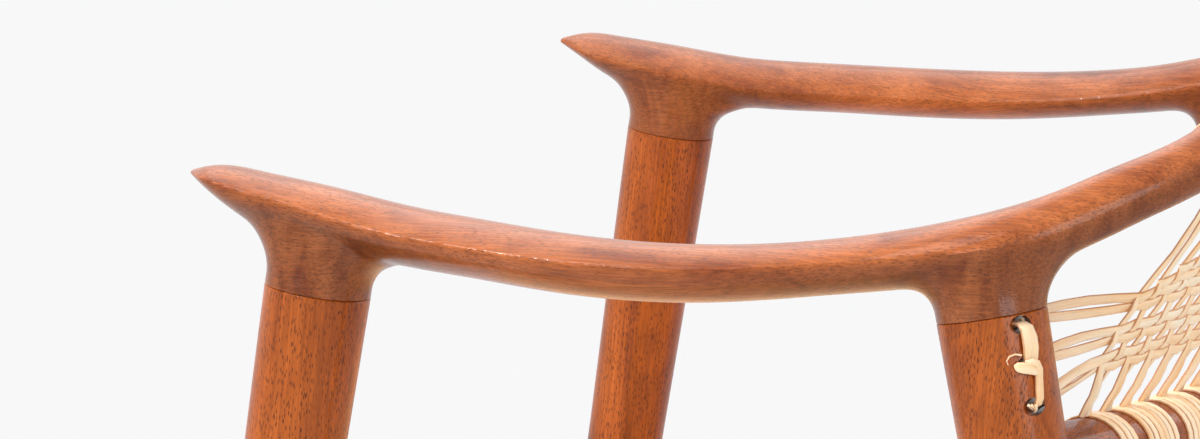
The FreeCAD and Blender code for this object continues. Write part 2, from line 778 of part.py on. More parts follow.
neck_features = [feature("front_neck", front_neck_shape), feature("rear_neck", rear_neck_shape)]
arm_sawn = doc.addObject("Part::MultiCommon", "arm_sawn")
arm_sawn.Shapes = [rail_blank, feature("arm_side_left", joint_block(1, -block_reach))]
arm_grown = fuse("arm_grown", [arm_sawn] + neck_features)
arm_bores = [
    cylinder(
        f"arm_bore_{dowel}",
        neck - up * size("cut_overrun"),
        up,
        size("dowel_half_length") + size("dowel_end_gap") + size("cut_overrun"),
        f"{cell(dowel)} + 2 * {cell('dowel_clearance')}",
    )
    for neck, up, dowel in ((front_neck, front_up, "front_dowel_dia"), (rear_neck, rear_up, "rear_dowel_dia"))
]
left_arm = keep(cut("arm_bored", arm_grown, arm_bores), "left_arm")
right_arm = doc.addObject("Part::Mirroring", "arm_mirrored")
right_arm.Source = left_arm
right_arm.Normal = Vector(1, 0, 0)
keep(right_arm, "right_arm")

# Loose dowels, and the pegs that pin the rear ones
for row_name, neck, up, alias in (
    ("front", front_neck, front_up, "front_dowel_dia"),
    ("rear", rear_neck, rear_up, "rear_dowel_dia"),
):
    pair = []
    for side in (1, -1):
        side_up = mirrored(up, side)
        pair.append(
            cylinder(
                f"{row_name}_dowel_{side + 1}",
                mirrored(neck, side) - side_up * size("dowel_half_length"),
                side_up,
                2 * size("dowel_half_length"),
                cell(alias),
            )
        )
    dowels = fuse(f"{row_name}_dowel_pair", pair)
    if row_name == "rear":
        dowels = cut("rear_dowel_pair_drilled", dowels, peg_drills)
    keep(dowels, f"{row_name}_neck_dowels")
keep(fuse("rear_peg_pair", pegs), "rear_dowel_pegs")

# Cane wound round the lower rail in groups of strips with bare wood between them
group_step = (size("wrap_group_width") + size("wrap_group_gap")) / arc_radius
group_turn = size("wrap_group_width") / arc_radius
wrapped_half = half_turn - size("wrap_side_margin") / arc_radius
group_count = 2 * int((wrapped_half - group_turn / 2) / group_step) + 1
rail_wraps = arc_body(
    "back_rail_wraps",
    WRAP_SIDES,
    [
        f"({cell('back_rail_dia')} + 2 * {cell('cane_gap')} + 2 * {cell('cane_thickness')}) / cos(180 deg / {WRAP_SIDES})",
        f"({cell('back_rail_dia')} + 2 * {cell('cane_gap')}) / cos(180 deg / {WRAP_SIDES})",
    ],
    group_turn,
    group_count,
    (group_count - 1) * group_step,
)
keep(rail_wraps, "back_rail_wraps")


# The laced back: pairs of warps from the lower rail to the crest, on the sitter's side of both
def crest_point_at(x):
    """Centre line of the crest above a place across the chair, with its outward direction."""
    low = rail_line.parameter(half_stations[len(ARM_STATION_SHARES) - 1][0])
    high = rail_line.parameter(half_stations[-1][0])
    for _ in range(HALVINGS):
        middle = (low + high) / 2
        if rail_line.value(middle).x > x:
            low = middle
        else:
            high = middle
    return rail_line.value(low), low


def crest_sizes_at(parameter):
    """Half thickness, half height and lean of the crest at a place on its centre line."""
    marks = [(rail_line.parameter(s[0]), s[1], s[2], s[6]) for s in half_stations]
    for (p0, *a), (p1, *b) in zip(marks, marks[1:]):
        if parameter <= p1:
            share = (parameter - p0) / (p1 - p0)
            return [u + (v - u) * share for u, v in zip(a, b)]
    return marks[-1][1:]


def warp_frame(angle):
    """Foot and head of a warp at an angle round the lower rail, and its across and sitter-side directions."""
    side = 1 if angle >= 0 else -1
    outward = along_arc(abs(angle))
    rail_centre = arc_centre + outward * arc_radius
    crest_centre, parameter = crest_point_at(rail_centre.x)
    half_thickness, half_height, lean = crest_sizes_at(parameter)
    rise = (crest_centre - rail_centre).normalize()
    across = arc_tangent(abs(angle))
    inner = across.cross(rise).normalize()
    if inner.y > 0:
        inner = -inner
    foot = rail_centre + inner * (size("back_rail_dia") / 2 + 2 * wrap_thickness)
    head = crest_centre + inner * (half_thickness + 2 * wrap_thickness)
    return [mirrored(v, side) for v in (foot, head, across, inner)]


warp_step = size("warp_pair_pitch") / arc_radius
warp_half_count = int((half_turn - size("warp_side_margin") / arc_radius) / warp_step)
warp_angles = [n * warp_step for n in range(-warp_half_count, warp_half_count + 1)]


def warp_pair(angle):
    """Two flat strips that leave the rail side by side, spread for the weave and close again at the crest."""
    foot, head, across, inner = warp_frame(angle)
    length = (head - foot).Length
    rise = (head - foot).normalize()
    low = FULL_ROW_SHARES[0][1] * length
    high = (1 - FULL_ROW_SHARES[0][1]) * length
    width = size("cane_width")
    closed = width / 2 + size("cane_gap")
    spread = size("warp_spread") / 2
    path = ((0.0, closed), (low, spread), (high, spread), (length, closed))
    outer = [(o + width / 2, t) for t, o in path] + [(-o - width / 2, t) for t, o in reversed(path)]
    slot = [(o - width / 2, t) for t, o in path] + [(-o + width / 2, t) for t, o in reversed(path)]

    def wire(outline):
        return closed_wire([foot + across * a + rise * t for a, t in outline])

    solid = Part.Face(wire(outer)).extrude(inner * size("cane_thickness"))
    gap = Part.Face(wire(slot)).extrude(inner * size("cane_thickness"))
    return solid.cut(gap)


keep(feature("warp_pairs", Part.makeCompound([warp_pair(angle) for angle in warp_angles])), "back_cane_warps")


def row_section(angle, share):
    foot, head, across, inner = warp_frame(angle)
    rise = (head - foot).normalize()
    centre = foot + (head - foot) * share + inner * (size("cane_thickness") + size("cane_gap"))
    half = rise * (size("cane_width") / 2)
    skin = inner * size("cane_thickness")
    return closed_wire([centre - half, centre + half, centre + half + skin, centre - half + skin])


def weft_row(side_share, centre_share, reach_share):
    """A strip laid across the warps, level share falling or rising from the side to the centre."""
    edge = warp_angles[-1] * reach_share
    count = max(int(abs(edge) / warp_step / WEFT_STEP), MIN_WEFT_STATIONS)
    sections = []
    for n in range(-count, count + 1):
        angle = edge * n / count
        sideways = (abs(angle) / warp_angles[-1]) ** 2
        sections.append(row_section(angle, centre_share + (side_share - centre_share) * sideways))
    return Part.makeLoft(sections, True, True)


rows = [weft_row(side_share, centre_share, 1.0) for side_share, centre_share in FULL_ROW_SHARES]
rows += [weft_row(centre_share, centre_share, reach) for reach, centre_share in SHORT_ROW_SHARES]
keep(feature("weft_rows", Part.makeCompound(rows)), "back_cane_wefts")

# Cane wound round the crest and the ends of the arms, one group to every few pairs of warps
def wrap_bar(angle, grow):
    """A short length of the rail at the head of a warp, grown outwards."""
    place, parameter = crest_point_at((arc_centre + along_arc(abs(angle)) * arc_radius).x)
    half_thickness, half_height, lean = crest_sizes_at(parameter)
    tangent, outward, upward = frame_at(parameter, lean)
    height = half_height + grow
    reach = tangent * size("crest_wrap_width")
    corners = section_ring(
        place - reach * LENGTHWISE_SHARE, outward, upward, half_thickness + grow, height, height, ROUND, ROUND
    )
    side = 1 if angle >= 0 else -1
    face = Part.Face(closed_wire([mirrored(corner, side) for corner in corners]))
    return face.extrude(mirrored(reach, side))


def wrap_sleeve(angle):
    """A short sleeve round the rail, standing off it by the cane gap and the ease that the bend needs."""
    inside = size("cane_gap") + size("crest_wrap_ease")
    return wrap_bar(angle, inside + size("cane_thickness")).cut(wrap_bar(angle, inside))


sleeve_half_count = warp_half_count - 1
sleeve_step = 2 * sleeve_half_count / (CREST_SLEEVES - 1)
sleeve_angles = [(n * sleeve_step - sleeve_half_count) * warp_step for n in range(CREST_SLEEVES)]
keep(feature("crest_sleeves", Part.makeCompound([wrap_sleeve(angle) for angle in sleeve_angles])), "crest_wraps")


# Woven seat: cane bound round each seat rail, and a dipped panel between them
def rail_sleeve(label, key_a, key_b, height):
    """A close-fitting sleeve of cane round one seat rail, leaving bare wood next to both legs."""
    ends = []
    for row_name, side in (key_a, key_b):
        neck, up = (front_neck, front_up) if row_name == "front" else (rear_neck, rear_up)
        ends.append(mirrored(leg_axis_at(neck, up, height), side))
    direction = (ends[1] - ends[0]).normalize()
    across = Vector(0, 0, 1).cross(direction)
    length = (ends[1] - ends[0]).Length - 2 * size("seat_wrap_margin")
    body = doc.addObject("PartDesign::Body", label + "_body")
    ring = new_sketch(body, label + "_ring", "XY_Plane")
    add_rounded_rectangle(ring, size("cane_gap"), cell("cane_gap"))
    add_rounded_rectangle(ring, wrap_thickness, f"{cell('cane_gap')} + {cell('cane_thickness')}")
    pad = body.newObject("PartDesign::Pad", label + "_sleeve")
    pad.Profile = ring
    pad.Length = length
    body.Tip = pad
    start = ends[0] + direction * size("seat_wrap_margin")
    body.Placement = Placement(start, Rotation(across, Vector(0, 0, 1), direction, "ZYX"))
    return keep(body, label)


def add_rounded_rectangle(sketch, grow, grow_expression):
    """The rail's rounded outline grown by a clearance, with four quarter circles, bound to the sheet."""
    radius = size("seat_rail_round") + grow
    run = size("seat_rail_width") / 2 - size("seat_rail_round")
    climb = size("seat_rail_depth") / 2 - size("seat_rail_round")
    normal = Vector(0, 0, 1)
    arcs = []
    for k, (x, y) in enumerate(((run, climb), (-run, climb), (-run, -climb), (run, -climb))):
        circle = Part.Circle(Vector(x, y, 0), normal, radius)
        start = k * QUARTER_DEG
        arcs.append(Part.ArcOfCircle(circle, math.radians(start), math.radians(start + QUARTER_DEG)))
    first = sketch.GeometryCount
    for k in range(4):
        sketch.addGeometry(arcs[k], False)
        sketch.addGeometry(Part.LineSegment(arcs[k].EndPoint, arcs[(k + 1) % 4].StartPoint), False)
    for k in range(4):
        arc = first + 2 * k
        sketch.addConstraint(Sketcher.Constraint("Tangent", arc, 2, arc + 1, 1))
        sketch.addConstraint(Sketcher.Constraint("Tangent", arc + 1, 2, first + (2 * k + 2) % 8, 1))
        sketch.addConstraint(Sketcher.Constraint("Vertical" if k % 2 else "Horizontal", arc + 1))
        if k:
            sketch.addConstraint(Sketcher.Constraint("Equal", first, arc))
    sketch.addConstraint(Sketcher.Constraint("Symmetric", first, 3, first + 4, 3, -1, 1))
    across = sketch.addConstraint(Sketcher.Constraint("DistanceX", first + 2, 3, first, 3, 2 * run))
    sketch.setExpression(f"Constraints[{across}]", f"{cell('seat_rail_width')} - 2 * {cell('seat_rail_round')}")
    high = sketch.addConstraint(Sketcher.Constraint("DistanceY", first + 6, 3, first, 3, 2 * climb))
    sketch.setExpression(f"Constraints[{high}]", f"{cell('seat_rail_depth')} - 2 * {cell('seat_rail_round')}")
    corner = sketch.addConstraint(Sketcher.Constraint("Radius", first, radius))
    sketch.setExpression(f"Constraints[{corner}]", f"{cell('seat_rail_round')} + {grow_expression}")


rail_sleeve("seat_front_wrap", ("front", 1), ("front", -1), low_seat)
rail_sleeve("seat_back_wrap", ("rear", 1), ("rear", -1), low_seat)
rail_sleeve("seat_left_wrap", ("front", 1), ("rear", 1), high_seat)
rail_sleeve("seat_right_wrap", ("front", -1), ("rear", -1), high_seat)


def seat_panel():
    """The woven panel: level with the side rails at its sides, lower at front and back, dipped in the middle."""
    lift = size("seat_rail_depth") / 2 + wrap_thickness + size("cane_gap")
    front_left = leg_axis_at(front_neck, front_up, low_seat)
    back_left = leg_axis_at(rear_neck, rear_up, low_seat)
    inset = size("seat_rail_width") / 2 + size("seat_cane_margin")
    near_y = front_left.y + inset
    far_y = back_left.y - inset
    sections = []
    for share in SEAT_STATION_SHARES:
        y = near_y + (far_y - near_y) * share
        half = front_left.x + (back_left.x - front_left.x) * share - inset
        bulge = 1 - (2 * share - 1) ** 2
        side_height = low_seat + lift + (high_seat - low_seat) * bulge
        dip = size("seat_cane_dip") * bulge + (high_seat - low_seat) * bulge
        top = []
        for across in SEAT_ACROSS_SHARES:
            top.append(Vector(half * across, y, side_height - dip * (1 - across * across)))
        under = [p - Vector(0, 0, size("seat_cane_skin")) for p in reversed(top)]
        sections.append(closed_wire(top + under))
    return Part.makeLoft(sections, True, True)


keep(feature("seat_panel", seat_panel()), "seat_cane")


# Lacing: strips through the three holes of each rear leg to the rows of weft, and over the leg outside
def strand(points, across, width):
    """A flat strip along points, mitred where it turns, its broad side following the across direction."""
    sections = []
    for n, point in enumerate(points):
        before = (point - points[max(n - 1, 0)]) if n else (points[1] - point)
        after = (points[min(n + 1, len(points) - 1)] - point) if n < len(points) - 1 else before
        before.normalize()
        after.normalize()
        half_turn_cos = math.sqrt(max((1 + before.dot(after)) / 2, TURN_FLOOR))
        skin = across.cross(before + after).normalize() * (size("cane_thickness") / 2 / half_turn_cos)
        edge = across * (width / 2)
        sections.append(closed_wire([point - edge - skin, point + edge - skin, point + edge + skin, point - edge + skin]))
    return Part.makeLoft(sections, True, True)


def lacing(side):
    up = mirrored(rear_up, side)
    rearward = Vector(0, 1, 0).cross(up).cross(up) * -1
    rearward.normalize()
    outward = rearward.cross(up) * side
    outward.normalize()
    foot, head, _, _ = warp_frame(warp_angles[-1] if side > 0 else warp_angles[0])
    strips = []
    offset = size("lace_hole_offset")
    layer = (size("cane_thickness") + size("cane_gap")) / 2
    mouths = []
    for n, rows in enumerate(LACE_ROWS):
        drop = size("lace_hole_drop") + n * size("lace_hole_pitch")
        centre = mirrored(rear_neck, side) - up * drop + rearward * offset
        face = math.sqrt(leg_radius_at(drop) ** 2 - offset**2)
        mouths.append(centre + outward * face)
        for row, shift in zip(rows, (-layer, layer)):
            start = centre + outward * (face - size("cane_gap")) + rearward * shift
            inner = centre - outward * (face + size("cane_thickness")) + rearward * shift
            end = foot + (head - foot) * FULL_ROW_SHARES[row][0]
            end += (inner - end).normalize() * (size("cane_width") + size("cane_gap"))
            strips.append(strand([start, inner, end], up, size("cane_width") - 2 * size("cane_gap")))
    lift = outward * (size("cane_thickness") / 2 + size("cane_gap"))
    slope = (outward * math.sqrt(leg_radius_at(0) ** 2 - offset**2) + rearward * offset).normalize()
    for start, end in ((0, 1), (1, 2)):
        gap = up * (size("cane_width") / 2)
        low = mouths[end] + lift + gap
        high = mouths[start] + lift - gap
        across = up.cross(slope).normalize()
        strips.append(strand([high, low], across, size("cane_width")))
    return Part.makeCompound(strips)


keep(feature("lacing_left", lacing(1)), "left_lacing")
keep(feature("lacing_right", lacing(-1)), "right_lacing")

# Every object is checked before anything is written
doc.recompute()
for obj in doc.Objects:
    if "Invalid" in obj.State or "Error" in obj.State:
        raise RuntimeError(f"{obj.Name} failed: {obj.State}")
for obj in parts:
    shape = obj.Shape
    if shape.isNull() or not shape.isValid() or shape.Volume <= 0:
        raise RuntimeError(f"{obj.Label} has no sound shape")
    shape.exportStep(f"parts/{obj.Label}.step")
    box = shape.BoundBox
    corners = [round(v, 1) for v in (box.XMin, box.XMax, box.YMin, box.YMax, box.ZMin, box.ZMax)]
    print(obj.Label, "solids", len(shape.Solids), "box", corners)
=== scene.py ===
import math
import random

import bpy
import numpy as np
from mathutils import Matrix, Vector


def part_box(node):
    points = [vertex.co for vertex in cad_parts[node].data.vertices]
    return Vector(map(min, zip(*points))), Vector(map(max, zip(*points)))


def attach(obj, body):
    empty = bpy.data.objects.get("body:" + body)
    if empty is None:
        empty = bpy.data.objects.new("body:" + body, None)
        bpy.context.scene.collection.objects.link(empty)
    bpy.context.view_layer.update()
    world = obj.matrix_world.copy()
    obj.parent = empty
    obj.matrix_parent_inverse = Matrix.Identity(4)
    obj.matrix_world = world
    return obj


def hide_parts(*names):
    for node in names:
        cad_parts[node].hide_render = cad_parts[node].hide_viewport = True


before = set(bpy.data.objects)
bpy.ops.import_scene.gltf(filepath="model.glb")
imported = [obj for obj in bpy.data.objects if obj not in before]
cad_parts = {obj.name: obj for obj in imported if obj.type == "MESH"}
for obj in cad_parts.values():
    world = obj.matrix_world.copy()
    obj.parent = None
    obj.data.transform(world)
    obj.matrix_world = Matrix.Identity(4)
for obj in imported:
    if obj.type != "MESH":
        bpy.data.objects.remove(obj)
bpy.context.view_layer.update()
MM = 0.001
UP = Vector((0, 0, 1))

# The chair's own driving sizes, in millimetres
NECK_HEIGHT = 600.0
REAR_NECK_LIFT = 4.9
FRONT_NECK_HALF = 277.0
REAR_NECK_HALF = 312.0
NECK_SPACING = 261.6
FRONT_RAKE_DEG = 8.7
FRONT_SPLAY_DEG = 0.8
REAR_RAKE_DEG = 10.3
REAR_SPLAY_DEG = 1.7
LEG_NECK_DIA = 40.0
LEG_UPPER_DIA = 35.0
LEG_UPPER_DROP = 140.0
LEG_LOWER_DIA = 30.0
LEG_LOWER_DROP = 340.0
LEG_FOOT_DIA = 24.0
ARM_RIDGE_HEIGHT = 32.4
ARM_HALF_WIDTH = 25.0
ARM_CROWN = 8.6
ARM_BELLY = 12.6
ARM_BOW = 21.8
ARM_BOW_LIFT = 2.2
CREST_HALF_THICKNESS = 11.5
CREST_HALF_HEIGHT = 19.0
CREST_LEAN_DEG = 20.0
CREST_BOW = 150.0
CREST_RISE = 120.0
BACK_RAIL_DIA = 28.0
BACK_RAIL_DROP = 56.0
BACK_RAIL_BOW = 72.0
LACE_HOLE_DROP = 3.8
LACE_HOLE_PITCH = 14.8
LACE_HOLE_OFFSET = 12.5
LACE_HOLE_DIA = 6.6
SEAT_RAIL_HEIGHT = 412.0
SEAT_RAIL_STAGGER = 15.0
SEAT_RAIL_WIDTH = 24.0
SEAT_RAIL_DEPTH = 32.0
SEAT_RAIL_ROUND = 9.0

# Cane as it is split and bought
STRIP_WIDTH = 3.7
STRIP_THICKNESS = 0.9
STRIP_LANE = 7.0

# The camera that the photograph was taken with, measured from the left front neck
CAMERA_FROM_NECK = (2029.06, 631.12, 294.33)
CAMERA_TURN_DEG = 14.439
CAMERA_DIP_DEG = 7.195
CAMERA_LENS = 172.36

neck_box = [Vector(corner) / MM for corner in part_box("front_neck_dowels")]
FRONT_Y = (neck_box[0].y + neck_box[1].y) / 2
REAR_Y = FRONT_Y + NECK_SPACING
REAR_HEIGHT = NECK_HEIGHT + REAR_NECK_LIFT


def slope(degrees):
    return math.tan(math.radians(degrees))


FRONT_NECK = Vector((FRONT_NECK_HALF, FRONT_Y, NECK_HEIGHT))
REAR_NECK = Vector((REAR_NECK_HALF, REAR_Y, REAR_HEIGHT))
FRONT_UP = Vector((-slope(FRONT_SPLAY_DEG), slope(FRONT_RAKE_DEG), 1)).normalized()
REAR_UP = Vector((-slope(REAR_SPLAY_DEG), -slope(REAR_RAKE_DEG), 1)).normalized()


def mirrored(point, side):
    return Vector((point.x * side, point.y, point.z))


def clamp(value):
    return min(max(value, 0.0), 1.0)


# Colours and nodes
TINTED = {"data_type": "RGBA", "blend_type": "MULTIPLY", "Factor": 1.0}


def colour(code):
    """An sRGB hex colour as linear values."""
    parts = [int(code[n : n + 2], 16) / 255 for n in (1, 3, 5)]
    linear = [c / 12.92 if c <= 0.04045 else ((c + 0.055) / 1.055) ** 2.4 for c in parts]
    return (*linear, 1.0)


def add(tree, kind, settings=None, links=None):
    """Adds a node, sets its properties, input values and colour stops, and links other nodes to its inputs.

    A link names an output, or a node for its first output.
    """
    node = tree.nodes.new("ShaderNode" + kind)
    for name, value in (settings or {}).items():
        if name == "stops":
            elements = node.color_ramp.elements
            for n, (place, tone) in enumerate(value):
                element = elements[n] if n < 2 else elements.new(place)
                element.position = place
                element.color = tone if isinstance(tone, tuple) else (tone, tone, tone, 1.0)
        elif isinstance(name, str) and hasattr(node, name):
            setattr(node, name, value)
        else:
            node.inputs[name].default_value = value
    for name, source in (links or {}).items():
        tree.links.new(getattr(source, "outputs", [source])[0], node.inputs[name])
    return node


def new_material(name):
    material = bpy.data.materials.new(name)
    material.use_nodes = True
    material.node_tree.nodes.clear()
    return material, material.node_tree


def oiled_teak(name, along, light, middle, dark, figure=0.35, rubbed=0.48, pore_tone=0.85):
    """Oiled teak: orange brown with darker growth bands, short dark open pores along the grain and a satin sheen.

    along is the direction of the grain, turned on to the pattern's Z by a Mapping node. Where a piece carries the
    neck attribute, the grain runs out of the surface and shows its rings, and the colour is darkened there as
    painted shade.
    figure is the share of curled figure among the bands, and pore_tone is how dark the pores are. rubbed is how
    much of the oil's shine is left where the surface is seen at a flat angle.
    """
    material, tree = new_material(name)
    place = add(tree, "TexCoord").outputs["Object"]
    turn = Vector(along).normalized().rotation_difference(UP).to_euler()
    grain = add(tree, "Mapping", {"Rotation": turn}, {"Vector": place})
    band_size = add(tree, "Mapping", {"Scale": (1, 1, 0.07)}, {"Vector": grain})
    bands = add(
        tree,
        "TexNoise",
        {"Scale": 1 / (14 * MM), "Detail": 5.0, "Roughness": 0.62, "Distortion": 0.6},
        {"Vector": band_size},
    )
    curl = add(tree, "TexNoise", {"Scale": 1 / (42 * MM), "Detail": 3.0, "Distortion": 1.6}, {"Vector": grain})
    mixed = add(tree, "Mix", {"data_type": "FLOAT", "Factor": figure}, {2: bands, 3: curl})
    neck_figure_and_shade = add(tree, "Attribute", {"attribute_name": "neck_figure_and_shade"}).outputs["Fac"]
    swirl_size = add(tree, "Mapping", {"Scale": (1, 1, 0.4)}, {"Vector": place})
    swirls = add(
        tree,
        "TexNoise",
        {"Scale": 1 / (15 * MM), "Detail": 5.0, "Roughness": 0.55, "Distortion": 1.4},
        {"Vector": swirl_size},
    )
    swirls_here = add(tree, "Math", {"operation": "MULTIPLY", 1: 0.75}, {0: neck_figure_and_shade})
    figured = add(tree, "Mix", {"data_type": "FLOAT"}, {"Factor": swirls_here, 2: mixed, 3: swirls})
    tones = ((0.32, colour(dark)), (0.50, colour(middle)), (0.68, colour(light)))
    tone = add(tree, "ValToRGB", {"stops": tones}, {"Fac": figured})

    fibre_size = add(tree, "Mapping", {"Scale": (1, 1, 0.03)}, {"Vector": grain})
    fibres = add(tree, "TexNoise", {"Scale": 1 / (0.9 * MM), "Detail": 3.0}, {"Vector": fibre_size})
    fibre_tone = add(tree, "ValToRGB", {"stops": ((0.35, 0.74), (0.65, 1.12))}, {"Fac": fibres})
    pore_size = add(tree, "Mapping", {"Scale": (1, 1, 0.2)}, {"Vector": grain})
    pores = add(tree, "TexVoronoi", {"Scale": 1 / (0.68 * MM), "Randomness": 1.0}, {"Vector": pore_size})
    pore_mask = add(tree, "ValToRGB", {"stops": ((0.20, 1.0), (0.37, 0.0))}, {"Fac": pores.outputs["Distance"]})
    patch = add(tree, "TexNoise", {"Scale": 1 / (9 * MM), "Detail": 2.0}, {"Vector": band_size})
    patch_mask = add(tree, "ValToRGB", {"stops": ((0.30, 0.4), (0.50, 1.0))}, {"Fac": patch})
    pore_here = add(tree, "Math", {"operation": "MULTIPLY"}, {0: pore_mask, 1: patch_mask})
    pore_depth = add(tree, "Math", {"operation": "MULTIPLY", 1: pore_tone}, {0: pore_here})

    toned = add(tree, "Mix", TINTED, {6: tone, 7: fibre_tone})
    # Painted shade: the neck attribute darkens the colour to 0.6 at the necks and under the arm near them, where
    # shade falls; the swirls above are the end grain's real figure
    neck_shade_factor = add(tree, "ValToRGB", {"stops": ((0.0, 1.0), (1.0, 0.6))}, {"Fac": neck_figure_and_shade})
    neck_shaded = add(tree, "Mix", TINTED, {6: toned.outputs[2], 7: neck_shade_factor})
    pored = add(
        tree, "Mix", {"data_type": "RGBA", 7: colour("#421a08")}, {"Factor": pore_depth, 6: neck_shaded.outputs[2]}
    )
    height = add(tree, "Math", {"operation": "MULTIPLY_ADD", 1: -0.8}, {0: pore_here, 2: fibres})
    bump = add(tree, "Bump", {"Strength": 0.22, "Distance": 0.25 * MM}, {"Height": height})
    roughness = add(tree, "ValToRGB", {"stops": ((0.3, 0.36), (0.7, 0.46))}, {"Fac": fibres})
    seen_flat = add(tree, "LayerWeight", {"Blend": 0.5}).outputs["Facing"]
    shine = add(tree, "ValToRGB", {"stops": ((0.50, 0.45), (0.84, rubbed))}, {"Fac": seen_flat})
    wood = add(
        tree,
        "BsdfPrincipled",
        {"IOR": 1.5, "Specular IOR Level": 0.06, "Coat Roughness": 0.11},
        {
            "Coat Weight": shine,
            "Base Color": pored.outputs[2],
            "Roughness": roughness,
            "Normal": bump,
            "Coat Normal": bump,
        },
    )
    add(tree, "OutputMaterial", None, {"Surface": wood})
    return material


def split_cane(name):
    """Split rattan peel: pale honey, with fine long fibres, a few dark flecks and a dull natural gloss.

    Its UV map runs in millimetres: U along the strip, V across it, each strip on its own stretch of V. So a Scale
    here is a count of repeats to the millimetre.
    """
    material, tree = new_material(name)
    strip = add(tree, "UVMap", {"uv_map": "strip"})
    tone_size = add(tree, "Mapping", {"Scale": (0.02, 0.21, 1)}, {"Vector": strip})
    tone = add(tree, "TexNoise", {"Scale": 1.0, "Detail": 3.0}, {"Vector": tone_size})
    tones = ((0.30, colour("#f7c791")), (0.50, colour("#ffdeb4")), (0.70, colour("#fff0d6")))
    body = add(tree, "ValToRGB", {"stops": tones}, {"Fac": tone})
    fibre_size = add(tree, "Mapping", {"Scale": (0.09, 3.2, 1)}, {"Vector": strip})
    fibres = add(tree, "TexNoise", {"Scale": 1.0, "Detail": 4.0, "Roughness": 0.6}, {"Vector": fibre_size})
    fibre_tone = add(tree, "ValToRGB", {"stops": ((0.32, 0.80), (0.48, 0.98), (0.70, 1.05))}, {"Fac": fibres})
    fleck_size = add(tree, "Mapping", {"Scale": (0.35, 1.6, 1)}, {"Vector": strip})
    flecks = add(tree, "TexNoise", {"Scale": 1.0, "Detail": 1.0}, {"Vector": fleck_size})
    fleck_mask = add(tree, "ValToRGB", {"stops": ((0.74, 0.0), (0.80, 0.7))}, {"Fac": flecks})
    toned = add(tree, "Mix", TINTED, {6: body, 7: fibre_tone})
    flecked = add(
        tree, "Mix", {"data_type": "RGBA", 7: colour("#7a4a26")}, {"Factor": fleck_mask, 6: toned.outputs[2]}
    )

    # The strips' edges are darker, partly their own browner edge and partly painted shade between strands: found by
    # how far V is from the middle of the strip's lane
    sides = add(tree, "SeparateXYZ", None, {0: strip}).outputs["Y"]
    lane = add(tree, "Math", {"operation": "MULTIPLY_ADD", 1: 1 / STRIP_LANE, 2: 0.5}, {0: sides})
    within = add(tree, "Math", {"operation": "FRACT"}, {0: lane})
    off_middle = add(tree, "Math", {"operation": "SUBTRACT", 1: 0.5}, {0: within})
    from_middle = add(tree, "Math", {"operation": "ABSOLUTE"}, {0: off_middle})
    edge_place = STRIP_WIDTH / 2 / STRIP_LANE
    edge_stops = ((edge_place * 0.80, 0.0), (edge_place * 0.97, 0.75))
    edge_tone_and_shade = add(tree, "ValToRGB", {"stops": edge_stops}, {"Fac": from_middle})
    edged = add(
        tree, "Mix", {"data_type": "RGBA", 7: colour("#b46a35")}, {"Factor": edge_tone_and_shade, 6: flecked.outputs[2]}
    )
    bump = add(tree, "Bump", {"Strength": 0.35, "Distance": 0.12 * MM}, {"Height": fibres})
    peel = add(
        tree, "BsdfPrincipled", {"Roughness": 0.42, "IOR": 1.48}, {"Base Color": edged.outputs[2], "Normal": bump}
    )
    add(tree, "OutputMaterial", None, {"Surface": peel})
    return material


FORE_AND_AFT = (0.13, 1.0, 0.0)
teak_upright = oiled_teak("oiled_teak_upright", (0, 0.1, 1), "#b55c20", "#a14e16", "#7a370e")
teak_arm = oiled_teak("oiled_teak_arm", FORE_AND_AFT, "#c4713f", "#ab5c2e", "#7f391a", 0.5, 0.7, 0.55)
teak_cross = oiled_teak("oiled_teak_cross", (1, 0, 0), "#b2602d", "#994d21", "#773414", 0.45)
cane_peel = split_cane("split_cane")


def dress(obj, material):
    obj.data.materials.clear()
    obj.data.materials.append(material)


# Solid wood
CARVED_EDGE_DEG = 38
ROUNDED_EDGE_DEG = 50


def work_on(obj):
    bpy.ops.object.select_all(action="DESELECT")
    obj.select_set(True)
    bpy.context.view_layer.objects.active = obj


def finished(obj, material, smooth_deg, node):
    """Shades a piece smooth up to an angle, gives it its material, hangs it from the root and hides the CAD node it
    stands for.
    """
    work_on(obj)
    bpy.ops.object.shade_smooth_by_angle(angle=math.radians(smooth_deg))
    dress(obj, material)
    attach(obj, "root")
    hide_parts(node)


def mesh_object(name, points, faces):
    mesh = bpy.data.meshes.new(name)
    mesh.from_pydata([p * MM for p in points], [], faces)
    mesh.validate()
    obj = bpy.data.objects.new(name, mesh)
    bpy.context.scene.collection.objects.link(obj)
    return obj


def edit_all(obj, operator, **settings):
    """Runs one edit-mode operator on the whole of a mesh."""
    work_on(obj)
    bpy.ops.object.mode_set(mode="EDIT")
    bpy.ops.mesh.select_all(action="SELECT")
    operator(**settings)
    bpy.ops.object.mode_set(mode="OBJECT")


def apply_change(obj, kind, **settings):
    """Gives a piece one modifier and applies it."""
    change = obj.modifiers.new("change", kind)
    for name, value in settings.items():
        setattr(change, name, value)
    work_on(obj)
    bpy.ops.object.modifier_apply(modifier=change.name)


def loft(name, rings):
    """A closed skin over rings with the same number of corners, capped at both ends."""
    count = len(rings[0])
    faces = []
    for r in range(len(rings) - 1):
        low, high = r * count, (r + 1) * count
        for c in range(count):
            d = (c + 1) % count
            faces.append((low + c, low + d, high + d, high + c))
    faces.append(tuple(reversed(range(count))))
    faces.append(tuple(range((len(rings) - 1) * count, len(rings) * count)))
    obj = mesh_object(name, [p for ring in rings for p in ring], faces)
    edit_all(obj, bpy.ops.mesh.normals_make_consistent, inside=False)
    return obj


def saw(obj, tool, operation):
    """Cuts a piece with a tool, and takes the tool away."""
    apply_change(obj, "BOOLEAN", object=tool, operation=operation, solver="EXACT")
    bpy.data.objects.remove(tool, do_unlink=True)


def saw_off_below(obj, point, normal):
    """Takes away what lies behind a plane through point, and closes the cut."""
    edit_all(obj, bpy.ops.mesh.bisect, plane_co=point * MM, plane_no=normal, use_fill=True, clear_inner=True)


